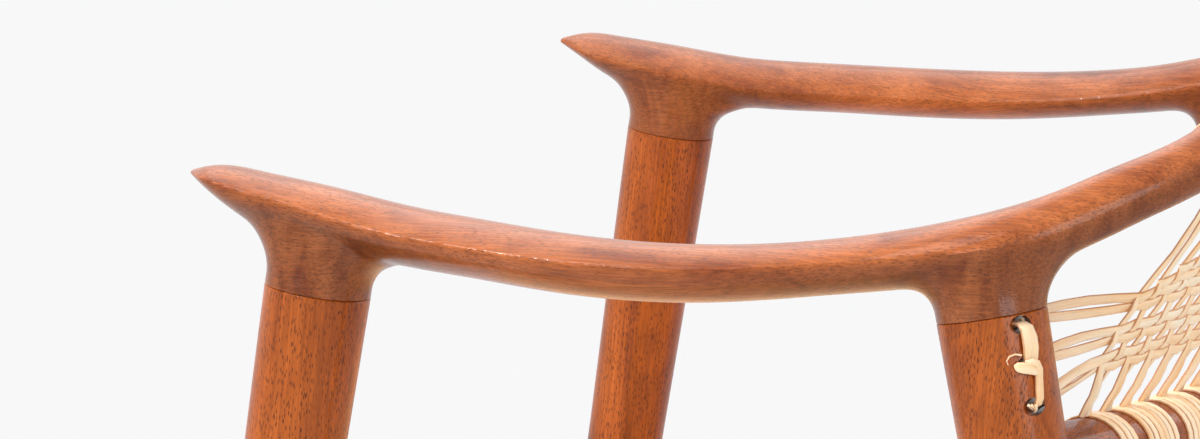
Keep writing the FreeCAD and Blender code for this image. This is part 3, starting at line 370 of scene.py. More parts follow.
def swept(marks, place):
    """A value read along straight runs between marks of (place, value)."""
    for (p0, v0), (p1, v1) in zip(marks, marks[1:]):
        if place <= p1:
            return v0 + (v1 - v0) * (place - p0) / (p1 - p0)
    return marks[-1][1]


# The rail from nose to nose, a few millimetres nearer to the photograph than the CAD part's. Each arm station:
# share of the way from the front neck to the rear neck, then ridge height, half width, crown and belly as shares
# of the arm's, how full the crown's and the belly's curves are, and the lean in degrees.
ARM_STATIONS = (
    (-0.1950, 1.300, 0.09, 0.100, 0.070, 1.0, 1.6, -5.0),
    (-0.1600, 1.262, 0.61, 0.500, 0.370, 1.0, 1.6, -5.4),
    (-0.1000, 1.165, 0.89, 0.720, 0.950, 1.0, 1.6, -5.9),
    (0.0000, 1.003, 1.00, 0.855, 1.094, 1.0, 1.6, -6.3),
    (0.1250, 0.781, 1.00, 1.008, 1.073, 1.0, 1.6, -6.3),
    (0.2460, 0.662, 0.99, 1.038, 1.022, 1.0, 1.6, -6.3),
    (0.3960, 0.557, 0.98, 1.018, 1.042, 1.0, 1.6, -6.3),
    (0.6000, 0.521, 0.97, 0.987, 1.001, 1.05, 1.6, -6.3),
    (0.7450, 0.621, 0.95, 0.937, 0.960, 1.1, 1.6, -6.3),
    (0.8880, 0.781, 0.92, 1.052, 1.003, 1.25, 1.7, -3.8),
    (1.0000, 0.962, 0.84, 1.209, 1.007, 1.5, 1.8, -1.6),
)
# Each bow station: share of the quarter turn from the rear neck to the crest's middle, share of the climb, then
# half thickness, half height above and below, and lean, as shares of the crest's
BOW_STATIONS = (
    (0.100, 0.073, 1.36, 0.59, 0.61, 0.00),
    (0.190, 0.183, 1.16, 0.53, 0.61, 0.10),
    (0.300, 0.303, 1.08, 0.50, 0.53, 0.25),
    (0.430, 0.500, 1.04, 0.68, 0.68, 0.50),
    (0.560, 0.650, 1.02, 0.80, 0.80, 0.75),
    (0.700, 0.800, 1.00, 0.91, 0.91, 0.90),
    (0.850, 0.930, 1.00, 0.98, 0.98, 1.00),
    (1.000, 1.000, 1.00, 1.00, 1.00, 1.00),
)
BOW_FULLNESS = 2.0
JOINT_STATION = 3


def rail_stations():
    """Centre, half width, crown, belly, fullness of both curves and lean, left nose to right nose."""
    rows = []
    toe = REAR_NECK_HALF - FRONT_NECK_HALF
    for along, ridge, width, crown, belly, crown_full, belly_full, lean in ARM_STATIONS:
        bulge = math.sin(math.pi * clamp(along)) ** 2
        x = FRONT_NECK_HALF + toe * along + ARM_BOW * bulge
        z = NECK_HEIGHT + ARM_RIDGE_HEIGHT * ridge + ARM_BOW_LIFT * bulge
        curves = (ARM_HALF_WIDTH * width, ARM_CROWN * crown, ARM_BELLY * belly, crown_full, belly_full)
        rows.append((x, FRONT_Y + NECK_SPACING * along, z, *curves, lean))
    start = rows[-1][2]
    climb_room = NECK_HEIGHT + CREST_RISE - start
    for turn, climb, thick, above, below, lean in BOW_STATIONS:
        angle = turn * math.pi / 2
        place = (REAR_NECK_HALF * math.cos(angle), REAR_Y + CREST_BOW * math.sin(angle), start + climb_room * climb)
        halves = (CREST_HALF_THICKNESS * thick, CREST_HALF_HEIGHT * above, CREST_HALF_HEIGHT * below)
        rows.append((*place, *halves, BOW_FULLNESS, BOW_FULLNESS, CREST_LEAN_DEG * lean))
    return rows + [(-row[0],) + row[1:] for row in reversed(rows[:-1])]


stations = np.array(rail_stations())
station_at = np.concatenate(([0.0], np.cumsum(np.linalg.norm(np.diff(stations[:, :3], axis=0), axis=1))))
RAIL_LENGTH = station_at[-1]


def bend_of(values):
    """Second derivatives at the stations of the smoothest curve through values, as a drawn spline has them."""
    gaps = np.diff(station_at)
    count = len(values)
    system = np.eye(count)
    target = np.zeros_like(values)
    for n in range(1, count - 1):
        system[n, n - 1 : n + 2] = (gaps[n - 1], 2 * (gaps[n - 1] + gaps[n]), gaps[n])
        target[n] = 6 * ((values[n + 1] - values[n]) / gaps[n] - (values[n] - values[n - 1]) / gaps[n - 1])
    return np.linalg.solve(system, target)


station_bends = bend_of(stations)


def rail_row(distance):
    """All the rail's values at a distance along it."""
    n = int(min(max(np.searchsorted(station_at, distance) - 1, 0), len(station_at) - 2))
    gap = station_at[n + 1] - station_at[n]
    b = (distance - station_at[n]) / gap
    a = 1 - b
    bends = (a**3 - a) * station_bends[n] + (b**3 - b) * station_bends[n + 1]
    return a * stations[n] + b * stations[n + 1] + bends * gap * gap / 6


def rail_frame(distance):
    """Centre, tangent, outward and upward directions, and the row of values, at a distance along the rail."""
    row = rail_row(distance)
    ahead = rail_row(min(distance + 0.5, RAIL_LENGTH))
    behind = rail_row(max(distance - 0.5, 0.0))
    tangent = Vector(ahead[:3] - behind[:3]).normalized()
    outward = tangent.cross(UP).normalized()
    upward = outward.cross(tangent).normalized()
    lean = math.radians(row[8])
    up = upward * math.cos(lean) + outward * math.sin(lean)
    out = outward * math.cos(lean) - upward * math.sin(lean)
    return Vector(row[:3]), tangent, out, up, row


RIDGE_MARKS = [(row[1], row[2]) for row in (rail_row(RAIL_LENGTH / 2 * n / 160) for n in range(161))]


def ridge_height(place):
    """Height of the rail's centre line beside a place, read by how far back the place is."""
    return swept(RIDGE_MARKS, place.y)


HALF_SECTION_POINTS = 22
RING_STEP = 3.0


def rail_ring(distance):
    """The rail's section: a flat or full curve above its widest line, and another below it."""
    centre, _, out, up, row = rail_frame(distance)
    half, crown, belly, crown_full, belly_full = row[3:8]
    ring = []
    for n in range(2 * HALF_SECTION_POINTS):
        share = -math.cos(math.pi * n / HALF_SECTION_POINTS)
        room = max(1 - share * share, 0.0)
        above = n <= HALF_SECTION_POINTS
        height = crown * room ** (1 / crown_full) if above else -belly * room ** (1 / belly_full)
        ring.append(centre + out * (half * share) + up * height)
    return ring


def rail_blank(name, start, end):
    count = max(int((end - start) / RING_STEP), 2)
    return loft(name, [rail_ring(start + (end - start) * n / count) for n in range(count + 1)])


def flare(level, start, height, reach, roundness):
    """How far a neck has spread at a level, along a rounded curve from start up to height."""
    share = clamp((level - start) / (height - start))
    return reach * (1 - (1 - share**roundness) ** (1 / roundness))


NECK_RING_POINTS = 44
NECK_LEVELS = 22
NECK_OVERRUN = 7.0
FRONT_NECK_TOP = 29.0
REAR_NECK_TOP = 25.0
# Each flare: the level where it starts, the level where it is full, its reach and how round it is
ARCH = (3.5, 15.0, 12.5, 2.0)
NOSE_FLARE = (6.3, 33.4, 35.7, 1.5)
RISER_FLARE = (0.0, 24.0, 32.0, 1.7)
SIDE_FLARE = 4.4
BOW_BEND = REAR_NECK_HALF / (2 * CREST_BOW**2)
TAIL_NARROWING = 0.34


def neck(name, foot, up, top, front_flare, rear_flare, follows_bow):
    """The flared neck that the arm grows out of, from below its joint to inside the arm."""
    toe_slope = (REAR_NECK_HALF - FRONT_NECK_HALF) / NECK_SPACING
    toe = Vector((REAR_NECK_HALF - FRONT_NECK_HALF, NECK_SPACING, 0)).normalized()
    lateral = toe.cross(up).normalized()
    forward = lateral.cross(up).normalized()
    rings = []
    for n in range(NECK_LEVELS + 1):
        level = -NECK_OVERRUN + (top + NECK_OVERRUN) * n / NECK_LEVELS
        share = max(level / top, 0.0)
        side = LEG_NECK_DIA / 2 + flare(level, ARCH[0], top, SIDE_FLARE, 2.0)
        ring = []
        for c in range(NECK_RING_POINTS):
            angle = 2 * math.pi * c / NECK_RING_POINTS
            along = math.sin(angle)
            across = side * math.cos(angle)
            reach = LEG_NECK_DIA / 2 + flare(level, *(rear_flare if along > 0 else front_flare))
            if along > 0 and follows_bow:
                behind = reach * along
                across *= 1 - TAIL_NARROWING * share * along * along
                across -= share * (behind * behind * BOW_BEND + behind * toe_slope)
            ring.append(foot + up * level + lateral * across - forward * (reach * along))
        rings.append(ring)
    return loft(name, rings)


VOXEL = 1.05
SANDING_ROUNDS = 3
NECK_BLEND_ROUNDS = 120
# How far out from each neck the blending reaches; then the same for the painted neck shade, and how far that takes
# to fade
BLENDED_NECKS = ((FRONT_NECK, FRONT_UP, 62.0), (REAR_NECK, REAR_UP, 72.0))
SHADED_NECKS = ((FRONT_NECK, FRONT_UP, 78.0, 34.0), (REAR_NECK, REAR_UP, 120.0, 55.0))


def merged_and_sanded(name, pieces):
    """Joins closed forms into one skin and sands the lines between them."""
    work_on(pieces[0])
    for piece in pieces[1:]:
        piece.select_set(True)
    if len(pieces) > 1:
        bpy.ops.object.join()
    whole = pieces[0]
    whole.name = name
    whole.data.remesh_voxel_size = VOXEL * MM
    bpy.ops.object.voxel_remesh()
    apply_change(whole, "SMOOTH", factor=0.5, iterations=SANDING_ROUNDS)
    return whole


def from_neck(place, foot, up):
    """How far up a neck's axis a place is, and how far out from the axis."""
    away = place - foot
    level = away.dot(up)
    return level, (away - up * level).length


def blend_necks(arm):
    """Sands the hollows between each neck and the arm more than the rest, fading out to the ridges and joints."""
    group = arm.vertex_groups.new(name="hollows")
    for vertex in arm.data.vertices:
        place = vertex.co / MM
        below_ridge = clamp((ridge_height(place) - 3.5 - place.z) / 5.0)
        weight = 0.0
        for foot, up, reach in BLENDED_NECKS:
            level, sideways = from_neck(place, foot, up)
            near = clamp((reach - sideways) / 18.0)
            above_joint = clamp((level - 3.0) / 6.0)
            weight = max(weight, near * above_joint * below_ridge)
        if weight > 0:
            group.add([vertex.index], weight, "REPLACE")
    apply_change(arm, "SMOOTH", factor=0.5, iterations=NECK_BLEND_ROUNDS, vertex_group=group.name)
    arm.vertex_groups.clear()


def mark_neck_figure_and_shade(arm):
    """Writes how much painted shade and end-grain figure each point gets: full at the necks below the ridge, none on
    top of the arm.
    """
    values = []
    for vertex in arm.data.vertices:
        place = vertex.co / MM
        below = clamp((ridge_height(place) + 1.5 - place.z) / 7.0)
        share = 0.0
        for foot, up, reach, fade in SHADED_NECKS:
            _, sideways = from_neck(place, foot, up)
            share = max(share, clamp((reach - sideways) / fade) * below)
        values.append(share)
    layer = arm.data.attributes.new("neck_figure_and_shade", "FLOAT", "POINT")
    layer.data.foreach_set("value", values)


JOINT_AT = station_at[len(ARM_STATIONS) + JOINT_STATION]
JOINT_ROOM = 16.0
FINGER_DEPTH = 15.0
FINGER_PITCH = 9.0
FINGER_STEPS = 5
GLUE_LINE = 0.22
BLOCK_REACH = NECK_SPACING + CREST_BOW + REAR_NECK_HALF
BLOCK_HALF = NECK_SPACING / 2


def finger_block(side, towards_crest):
    """A block whose zigzag face saws one half of a finger joint, set back by half the glue line."""
    centre, _, out, _, _ = rail_frame(JOINT_AT)
    level_out = Vector((out.x, out.y, 0)).normalized()
    along = UP.cross(level_out)
    sign = 1 if towards_crest else -1
    far, half = BLOCK_REACH * sign, BLOCK_HALF
    outline = [(far, -half), (0.0, -half)]
    for n in range(2 * FINGER_STEPS + 1):
        depth = FINGER_DEPTH / 2 * (1 if n % 2 else -1)
        outline.append((depth, (n - FINGER_STEPS) * FINGER_PITCH / 2))
    outline += [(0.0, half), (far, half)]
    rings = []
    for reach in (-BLOCK_REACH, BLOCK_HALF):
        base = centre + level_out * reach + along * (GLUE_LINE / 2 * sign)
        rings.append([mirrored(base + along * a + Vector((0, 0, u)), side) for a, u in outline])
    return loft("finger_block", rings)


def mirror_image(obj, name):
    """The same piece on the other side of the chair, with its skin turned right side out."""
    twin = obj.copy()
    twin.data = obj.data.copy()
    twin.name = name
    bpy.context.scene.collection.objects.link(twin)
    twin.data.transform(Matrix.Scale(-1, 4, (1, 0, 0)))
    twin.data.flip_normals()
    return twin


arm_blank = rail_blank("arm_blank", 0.0, JOINT_AT + JOINT_ROOM)
front_neck_form = neck("front_neck", FRONT_NECK, FRONT_UP, FRONT_NECK_TOP, NOSE_FLARE, ARCH, False)
rear_neck_form = neck("rear_neck", REAR_NECK, REAR_UP, REAR_NECK_TOP, ARCH, RISER_FLARE, True)
left_arm = merged_and_sanded("sculpted_arm_left", [arm_blank, front_neck_form, rear_neck_form])
blend_necks(left_arm)
for foot, up in ((FRONT_NECK, FRONT_UP), (REAR_NECK, REAR_UP)):
    saw_off_below(left_arm, foot + up * GLUE_LINE, up)
saw(left_arm, finger_block(1, False), "INTERSECT")
mark_neck_figure_and_shade(left_arm)
right_arm = mirror_image(left_arm, "sculpted_arm_right")
crest_blank = rail_blank("crest_blank", JOINT_AT - JOINT_ROOM, RAIL_LENGTH - JOINT_AT + JOINT_ROOM)
crest = merged_and_sanded("sculpted_crest", [crest_blank])
for side in (1, -1):
    saw(crest, finger_block(side, True), "INTERSECT")
finished(left_arm, teak_arm, CARVED_EDGE_DEG, "left_arm")
finished(right_arm, teak_arm, CARVED_EDGE_DEG, "right_arm")
finished(crest, teak_cross, CARVED_EDGE_DEG, "crest_rail")

# Turned legs: drop below the neck and radius of each ring
LEG_SIDES = 72
LEG_ROUND = 0.5
LEG_MARKS = (
    (0.0, LEG_NECK_DIA / 2 - LEG_ROUND),
    (LEG_ROUND, LEG_NECK_DIA / 2),
    (70.0, 18.85),
    (LEG_UPPER_DROP, LEG_UPPER_DIA / 2),
    (240.0, 16.35),
    (LEG_LOWER_DROP, LEG_LOWER_DIA / 2),
    (500.0, 13.2),
    (640.0, LEG_FOOT_DIA / 2),
)
DRILL_SIDES = 40
DRILL_LENGTH = 60.0


def turned_from_z(direction):
    return UP.rotation_difference(direction).to_matrix().to_4x4()


def turned_leg(name, neck_place, up):
    """A round leg drawn up from its foot ring by ring, then leaned to its rake and sawn off at the floor."""
    last_drop, last_radius = LEG_MARKS[-1]
    bpy.ops.mesh.primitive_circle_add(
        vertices=LEG_SIDES, radius=last_radius * MM, fill_type="NGON", location=(0, 0, -last_drop * MM)
    )
    leg = bpy.context.view_layer.objects.active
    leg.name = name
    bpy.ops.object.mode_set(mode="EDIT")
    bpy.ops.mesh.select_all(action="SELECT")
    for drop, radius in reversed(LEG_MARKS[:-1]):
        bpy.ops.mesh.extrude_region_move(TRANSFORM_OT_translate={"value": (0, 0, (last_drop - drop) * MM)})
        bpy.ops.transform.resize(value=(radius / last_radius, radius / last_radius, 1))
        last_drop, last_radius = drop, radius
    bpy.ops.mesh.select_all(action="SELECT")
    bpy.ops.mesh.normals_make_consistent(inside=False)
    bpy.ops.object.mode_set(mode="OBJECT")
    leg.data.transform(Matrix.Translation(neck_place * MM) @ turned_from_z(up) @ Matrix.Translation(leg.location))
    leg.location = (0, 0, 0)
    saw_off_below(leg, Vector((0, 0, 0)), UP)
    return leg


def leg_radius_at(drop):
    return swept(LEG_MARKS[1:], drop)


REARWARD = -Vector((0, 1, 0)).cross(REAR_UP).cross(REAR_UP).normalized()
OUTWARD = REARWARD.cross(REAR_UP).normalized()


def lace_hole(n, side):
    """Centre of a lacing hole in the leg's middle plane, and how far its mouths are from there."""
    drop = LACE_HOLE_DROP + n * LACE_HOLE_PITCH
    centre = REAR_NECK - REAR_UP * drop + REARWARD * LACE_HOLE_OFFSET
    return mirrored(centre, side), math.sqrt(leg_radius_at(drop) ** 2 - LACE_HOLE_OFFSET**2)


def drill(place, direction):
    """A drill bit for a lacing hole, with its middle at place."""
    bpy.ops.mesh.primitive_cylinder_add(vertices=DRILL_SIDES, radius=LACE_HOLE_DIA / 2 * MM, depth=DRILL_LENGTH * MM)
    bit = bpy.context.view_layer.objects.active
    bit.data.transform(Matrix.Translation(place * MM) @ turned_from_z(direction))
    return bit


for side, word in ((1, "left"), (-1, "right")):
    for row, neck_place, up in (("front", FRONT_NECK, FRONT_UP), ("rear", REAR_NECK, REAR_UP)):
        leg = turned_leg(f"turned_{row}_{word}_leg", mirrored(neck_place, side), mirrored(up, side))
        for n in range(3 if row == "rear" else 0):
            centre, _ = lace_hole(n, side)
            saw(leg, drill(centre, mirrored(OUTWARD, side)), "DIFFERENCE")
        finished(leg, teak_upright, CARVED_EDGE_DEG, f"{row}_{word}_leg")

# The bowed round rail at the foot of the cane back
back_rail_height = REAR_HEIGHT - BACK_RAIL_DROP
back_rail_end = REAR_NECK - REAR_UP * (BACK_RAIL_DROP / REAR_UP.z)
ARC_RADIUS = (back_rail_end.x**2 + BACK_RAIL_BOW**2) / (2 * BACK_RAIL_BOW)
HALF_TURN = math.asin(back_rail_end.x / ARC_RADIUS)
ARC_CENTRE = Vector((0, back_rail_end.y + BACK_RAIL_BOW - ARC_RADIUS, back_rail_height))
BACK_RAIL_STEPS = 96
BACK_RAIL_SIDES = 48


def around_arc(angle):
    return Vector((math.sin(angle), math.cos(angle), 0))


def round_rail_ring(angle):
    outward = around_arc(angle)
    centre = ARC_CENTRE + outward * ARC_RADIUS
    radius = BACK_RAIL_DIA / 2
    turns = [2 * math.pi * n / BACK_RAIL_SIDES for n in range(BACK_RAIL_SIDES)]
    return [centre + outward * (radius * math.cos(t)) + UP * (radius * math.sin(t)) for t in turns]


rail_reach = HALF_TURN - 0.6 * LEG_UPPER_DIA / 2 / ARC_RADIUS
rail_angles = [rail_reach * (2 * n / BACK_RAIL_STEPS - 1) for n in range(BACK_RAIL_STEPS + 1)]
lower_rail = loft("bowed_lower_rail", [round_rail_ring(angle) for angle in rail_angles])
finished(lower_rail, teak_cross, ROUNDED_EDGE_DEG, "back_lower_rail")

for node in ("seat_front_rail", "seat_back_rail", "rear_dowel_pegs", "front_neck_dowels", "rear_neck_dowels"):
    dress(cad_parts[node], teak_cross)
for node in ("seat_left_rail", "seat_right_rail"):
    dress(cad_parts[node], teak_arm)

# Cane. A strip is a flat ribbon with a domed face, drawn through points, each with the way its face looks.
chance = random.Random(11)
STRIP_SECTION = ((-0.5, 0.0), (-0.47, 0.6), (-0.28, 1.0), (0.28, 1.0), (0.47, 0.6), (0.5, 0.0))
FLAT_SECTION = ((-0.5, 0.0), (-0.34, 1.0), (0.34, 1.0), (0.5, 0.0))


class Strips:
    """Collects strips into one mesh, with a UV map that runs in millimetres along and across each strip."""

    def __init__(self, section=STRIP_SECTION, thickness=STRIP_THICKNESS):
        self.section = section
        self.thickness = thickness
        self.points = []
        self.faces = []
        self.uvs = []
        self.count = 0

    def add_strip(self, marks, ring=False):
        """marks: a point in mm, the way the domed face looks there and the width there, all along the strip."""
        path = [point for point, _, _ in marks]
        total = len(marks)
        first = len(self.points)
        size = len(self.section)
        lane = STRIP_LANE * self.count
        run = [chance.uniform(0, 400)]
        for n in range(total):
            ahead = path[(n + 1) % total] if ring or n < total - 1 else path[n]
            behind = path[n - 1] if ring or n > 0 else path[n]
            along = (ahead - behind).normalized()
            _, look, width = marks[n]
            face = look - along * look.dot(along)
            face.normalize()
            across = along.cross(face)
            base = path[n] - face * (self.thickness / 2)
            for x, y in self.section:
                self.points.append(base + across * (x * width) + face * (y * self.thickness))
            if n:
                run.append(run[-1] + (path[n] - path[n - 1]).length)
        if ring:
            run.append(run[-1] + (path[0] - path[-1]).length)
        spread = [x * STRIP_WIDTH + lane for x, _ in self.section]
        for n in range(total if ring else total - 1):
            low = first + n * size
            high = first + (n + 1) % total * size
            for c in range(size):
                d = (c + 1) % size
                self.faces.append((low + c, high + c, high + d, low + d))
                va, vb = spread[c], spread[d]
                self.uvs += [(run[n], va), (run[n + 1], va), (run[n + 1], vb), (run[n], vb)]
        if not ring:
            self.faces.append(tuple(first + c for c in range(size)))
            self.uvs += [(run[0], spread[c]) for c in range(size)]
            last = first + (total - 1) * size
            self.faces.append(tuple(last + c for c in reversed(range(size))))
            self.uvs += [(run[-1], spread[c]) for c in reversed(range(size))]
        self.count += 1

    def made(self, name, node):
        obj = mesh_object(name, self.points, self.faces)
        layer = obj.data.uv_layers.new(name="strip")
        layer.data.foreach_set("uv", [value for pair in self.uvs for value in pair])
        finished(obj, cane_peel, ROUNDED_EDGE_DEG, node)


def between(a, b, share):
    return a + (b - a) * share


# The weave of the back, between the lower rail and the crest. Each full row: its height at the sides and in the
# middle, as shares of the warps' length. Each short row: how far it reaches to the sides, and its middle height.
PAIR_PITCH = 14.1
PAIRS_EACH_SIDE = 20
STRAND_SPREAD = PAIR_PITCH / 4
WRAP_LIFT = 0.3 + STRIP_THICKNESS
EDGE_ANGLE = PAIRS_EACH_SIDE * PAIR_PITCH / ARC_RADIUS
FULL_ROWS = ((0.215, 0.130), (0.262, 0.173), (0.335, 0.216), (0.382, 0.259), (0.475, 0.302), (0.522, 0.345))
SHORT_ROWS = ((0.975, 0.388), (0.95, 0.431), (0.90, 0.474), (0.86, 0.517), (0.80, 0.560), (0.74, 0.603))
SHORT_ROWS += ((0.68, 0.646), (0.60, 0.689), (0.52, 0.732), (0.44, 0.775), (0.32, 0.818))
ROWS = [(side_share, middle, 1.0) for side_share, middle in FULL_ROWS]
ROWS += [(None, middle, reach) for reach, middle in SHORT_ROWS]
LACING_PULL = 4.6
PULL_FADE = 0.045


def row_share(j, angle):
    """How high row j lies at an angle, as a share of the warp's length; short rows follow the sixth row up."""
    side_share, middle, _ = ROWS[j]
    sideways = (abs(angle) / EDGE_ANGLE) ** 2
    if side_share is None:
        top_side, top_middle, _ = ROWS[len(FULL_ROWS) - 1]
        side_share = top_side + (middle - top_middle) * 0.92
    return middle + (side_share - middle) * sideways


crest_lookup = []
for n in range(241):
    at = RAIL_LENGTH / 2 - (RAIL_LENGTH / 2 - station_at[len(ARM_STATIONS) - 1]) * n / 240
    crest_lookup.append((rail_row(at)[0], at))


def crest_at(x):
    """Distance along the rail of the place on the crest's left half that is x from the middle."""
    return swept(crest_lookup, x)


def warp_line(angle):
    """Foot, head, across and rearward directions of a warp on the left side, and the pull of the lacing."""
    outward = around_arc(angle)
    rail_centre = ARC_CENTRE + outward * ARC_RADIUS
    foot = rail_centre + UP * (BACK_RAIL_DIA / 2 + WRAP_LIFT * 0.6)
    centre, _, out, up, row = rail_frame(crest_at(rail_centre.x))
    head = centre + out * (0.38 * row[3]) - up * (0.93 * row[5] + WRAP_LIFT * 0.6)
    rise = (head - foot).normalized()
    across = Vector((math.cos(angle), -math.sin(angle), 0))
    rearward = rise.cross(across).normalized()
    pull = LACING_PULL * math.exp(-(EDGE_ANGLE - angle) / PULL_FADE)
    return foot, head, across, rearward, pull


line_cache = {}


def back_point(angle, share):
    """A point of the woven back and the way its rear face looks there."""
    side = 1 if angle >= 0 else -1
    key = round(abs(angle), 6)
    if key not in line_cache:
        line_cache[key] = warp_line(abs(angle))
    foot, head, across, rearward, pull = line_cache[key]
    bow = math.sin(math.pi * min(share / 0.78, 1.0))
    point = between(foot, head, share) + across * (pull * bow) - rearward * (0.25 * pull * bow)
    return mirrored(point, side), mirrored(rearward, side)


WEAVE_LIFT = 0.62
WARP_LIFT = 0.5
WARP_WIDTH = 4.1
WEFT_WIDTH = 4.9
# A row's share of its width where it passes under a warp, and between two warps
UNDER_SHARE = 0.86
BETWEEN_SHARE = 0.88
TAIL_SHARE = 0.7
MOUTH_WIDTH = 3.3
HOLE_WIDTH = 2.6
ROW_OVERRUN = STRAND_SPREAD * 1.1 / ARC_RADIUS


def strand_angle(pair, half):
    return (pair * PAIR_PITCH + half * STRAND_SPREAD) / ARC_RADIUS


def rows_at(angle):
    return [j for j in range(len(ROWS)) if abs(angle) <= ROWS[j][2] * EDGE_ANGLE + ROW_OVERRUN]


warps = Strips()
for pair in range(-PAIRS_EACH_SIDE, PAIRS_EACH_SIDE + 1):
    middle = pair * PAIR_PITCH / ARC_RADIUS
    for half in (-1, 1):
        strand = 2 * pair + (half > 0)
        present = rows_at(middle + half * STRAND_SPREAD / ARC_RADIUS)
        shares = [row_share(j, middle) for j in present]
        first_row, last_row = shares[0], shares[-1]
        neck_share = first_row * 0.42
        # How far a strand is from the middle of its pair, from the lower rail up to the crest
        offsets = (
            (0.0, 2.1),
            (neck_share, 0.75),
            (first_row * 0.62, 1.3),
            (first_row, STRAND_SPREAD),
            (last_row, STRAND_SPREAD),
            (last_row + (1 - last_row) * 0.45, 2.1),
            (1.0, 1.9),
        )
        lifts = [(0.0, 0.0), (neck_share, 0.55 * half)]
        for j, share in zip(present, shares):
            lifts.append((share, WARP_LIFT * (1 if (strand + j) % 2 else -1)))
        lifts += [(last_row + (1 - last_row) * 0.4, 0.0), (1.0, 0.0)]
        places = {0.0, neck_share * 0.5, neck_share, first_row * 0.62, *shares, 1.0}
        places |= {(a + b) / 2 for a, b in zip(shares, shares[1:])}
        places |= {last_row + (1 - last_row) * s for s in (0.2, 0.4, 0.7)}
        marks = []
        wobble = chance.uniform(-0.25, 0.25)
        for place in sorted(places):
            offset = swept(offsets, place) * half
            point, rearward = back_point(middle + offset / ARC_RADIUS, place)
            lift = swept(lifts, place)
            twist = 0.55 * half * math.sin(math.pi * min(place / first_row, 1.0)) if place < first_row else 0.0
            along = Vector((1, 0, 0)) * (1 if middle >= 0 else -1)
            width = WARP_WIDTH + wobble + (0.4 if place == 0.0 else 0.0)
            marks.append((point + rearward * lift, rearward + along * twist, width))
        warps.add_strip(marks)
warps.made("cane_back_warps", "back_cane_warps")

wefts = Strips()
LACE_PAIRS = ((5, 4), (3, 2), (1, 0))
for j, (_, _, reach) in enumerate(ROWS):
    stops = []
    for strand in range(-2 * PAIRS_EACH_SIDE, 2 * PAIRS_EACH_SIDE + 2):
        angle = strand_angle(strand // 2, 1 if strand % 2 else -1)
        if abs(angle) <= reach * EDGE_ANGLE + ROW_OVERRUN:
            stops.append((angle, WEAVE_LIFT * (-1 if (strand + j) % 2 else 1)))
    marks = []
    width = WEFT_WIDTH + chance.uniform(-0.25, 0.2)
    for n, (angle, lift) in enumerate(stops):
        point, rearward = back_point(angle, row_share(j, angle))
        marks.append((point + rearward * lift, rearward, width if lift > 0 else width * UNDER_SHARE))
        if n < len(stops) - 1:
            middle = (angle + stops[n + 1][0]) / 2
            marks.append((*back_point(middle, row_share(j, middle)), width * BETWEEN_SHARE))
    if reach == 1.0:
        level = next(n for n, rows in enumerate(LACE_PAIRS) if j in rows)
        upper = 1 if LACE_PAIRS[level][0] == j else -1
        for side in (-1, 1):
            centre, mouth = lace_hole(level, side)
            up = mirrored(REAR_UP, side)
            outward = mirrored(OUTWARD, side)
            rear = mirrored(REARWARD, side)
            edge, edge_face, _ = marks[0] if side < 0 else marks[-1]
            off_middle = rear * (0.5 * upper)
            inner = centre - outward * (mouth + 1.0) + up * (1.35 * upper) + off_middle
            deep = centre - outward * (mouth * 0.2) + up * (0.9 * upper) + off_middle
            through = centre + outward * (mouth * 0.7) + up * (0.9 * upper) + off_middle
            leg_face = (rear + outward * 0.9).normalized()
            extra = []
            for s in (0.25, 0.5, 0.75, 0.95):
                bend = math.sin(math.pi * s)
                roll = upper * 0.9 * bend if level == 2 else 0.0
                place = between(edge, inner, s) + up * (0.9 * upper * bend + 0.5 * bend)
                extra.append((place, between(edge_face, leg_face, s) + up * roll, WARP_WIDTH - 0.5 * s))
            extra += [(inner, leg_face, MOUTH_WIDTH), (deep, rear, HOLE_WIDTH), (through, rear, HOLE_WIDTH)]
            marks = extra[::-1] + marks if side < 0 else marks + extra
    else:
        for side in (-1, 1):
            end_angle = stops[0][0] if side < 0 else stops[-1][0]
            tail_angle = end_angle + side * 0.45 * STRAND_SPREAD / ARC_RADIUS
            point, rearward = back_point(tail_angle, row_share(j, end_angle))
            tail = [(point - rearward * 0.7, rearward, width * TAIL_SHARE)]
            marks = tail + marks if side < 0 else marks + tail
    wefts.add_strip(marks)
wefts.made("cane_back_wefts", "back_cane_wefts")

# Strips wound round the lower rail, in groups with bare wood between them
WOUND_SIDES = 28
WOUND_PITCH = 3.55
FIRST_GROUP = 3
GROUP = 6
GROUP_GAP = 7.1
EDGE_BARE = 46.0
TURN_WIDTH = 3.5
TURN_RADIUS = BACK_RAIL_DIA / 2 + STRIP_THICKNESS / 2 + 0.1
WOUND_SLANT = 3.2
rail_turns = Strips()


def wound_turn(angle):
    """One turn of cane round the lower rail, a little uneven as a hand lays it."""
    tilt = chance.uniform(-0.35, 0.35) - math.copysign(WOUND_SLANT, angle)
    loose = chance.uniform(0.0, 0.18)
    width = TURN_WIDTH + chance.uniform(-0.3, 0.05)
    marks = []
    for n in range(WOUND_SIDES):
        turn = 2 * math.pi * n / WOUND_SIDES
        here = angle + tilt * math.cos(turn) / ARC_RADIUS
        outward = around_arc(here)
        look = outward * math.cos(turn) + UP * math.sin(turn)
        marks.append((ARC_CENTRE + outward * ARC_RADIUS + look * (TURN_RADIUS + loose), look, width))
    rail_turns.add_strip(marks, ring=True)


places = []
left = HALF_TURN * ARC_RADIUS - EDGE_BARE
group = FIRST_GROUP
while left > 0:
    for n in range(group):
        here = left - n * WOUND_PITCH
        if here >= 0:
            places.append(here)
    left -= group * WOUND_PITCH + GROUP_GAP
    group = GROUP
for here in places:
    for side in (1, -1):
        if here > WOUND_PITCH / 2 or side > 0:
            wound_turn(side * here / ARC_RADIUS)
rail_turns.made("cane_rail_turns", "back_rail_wraps")

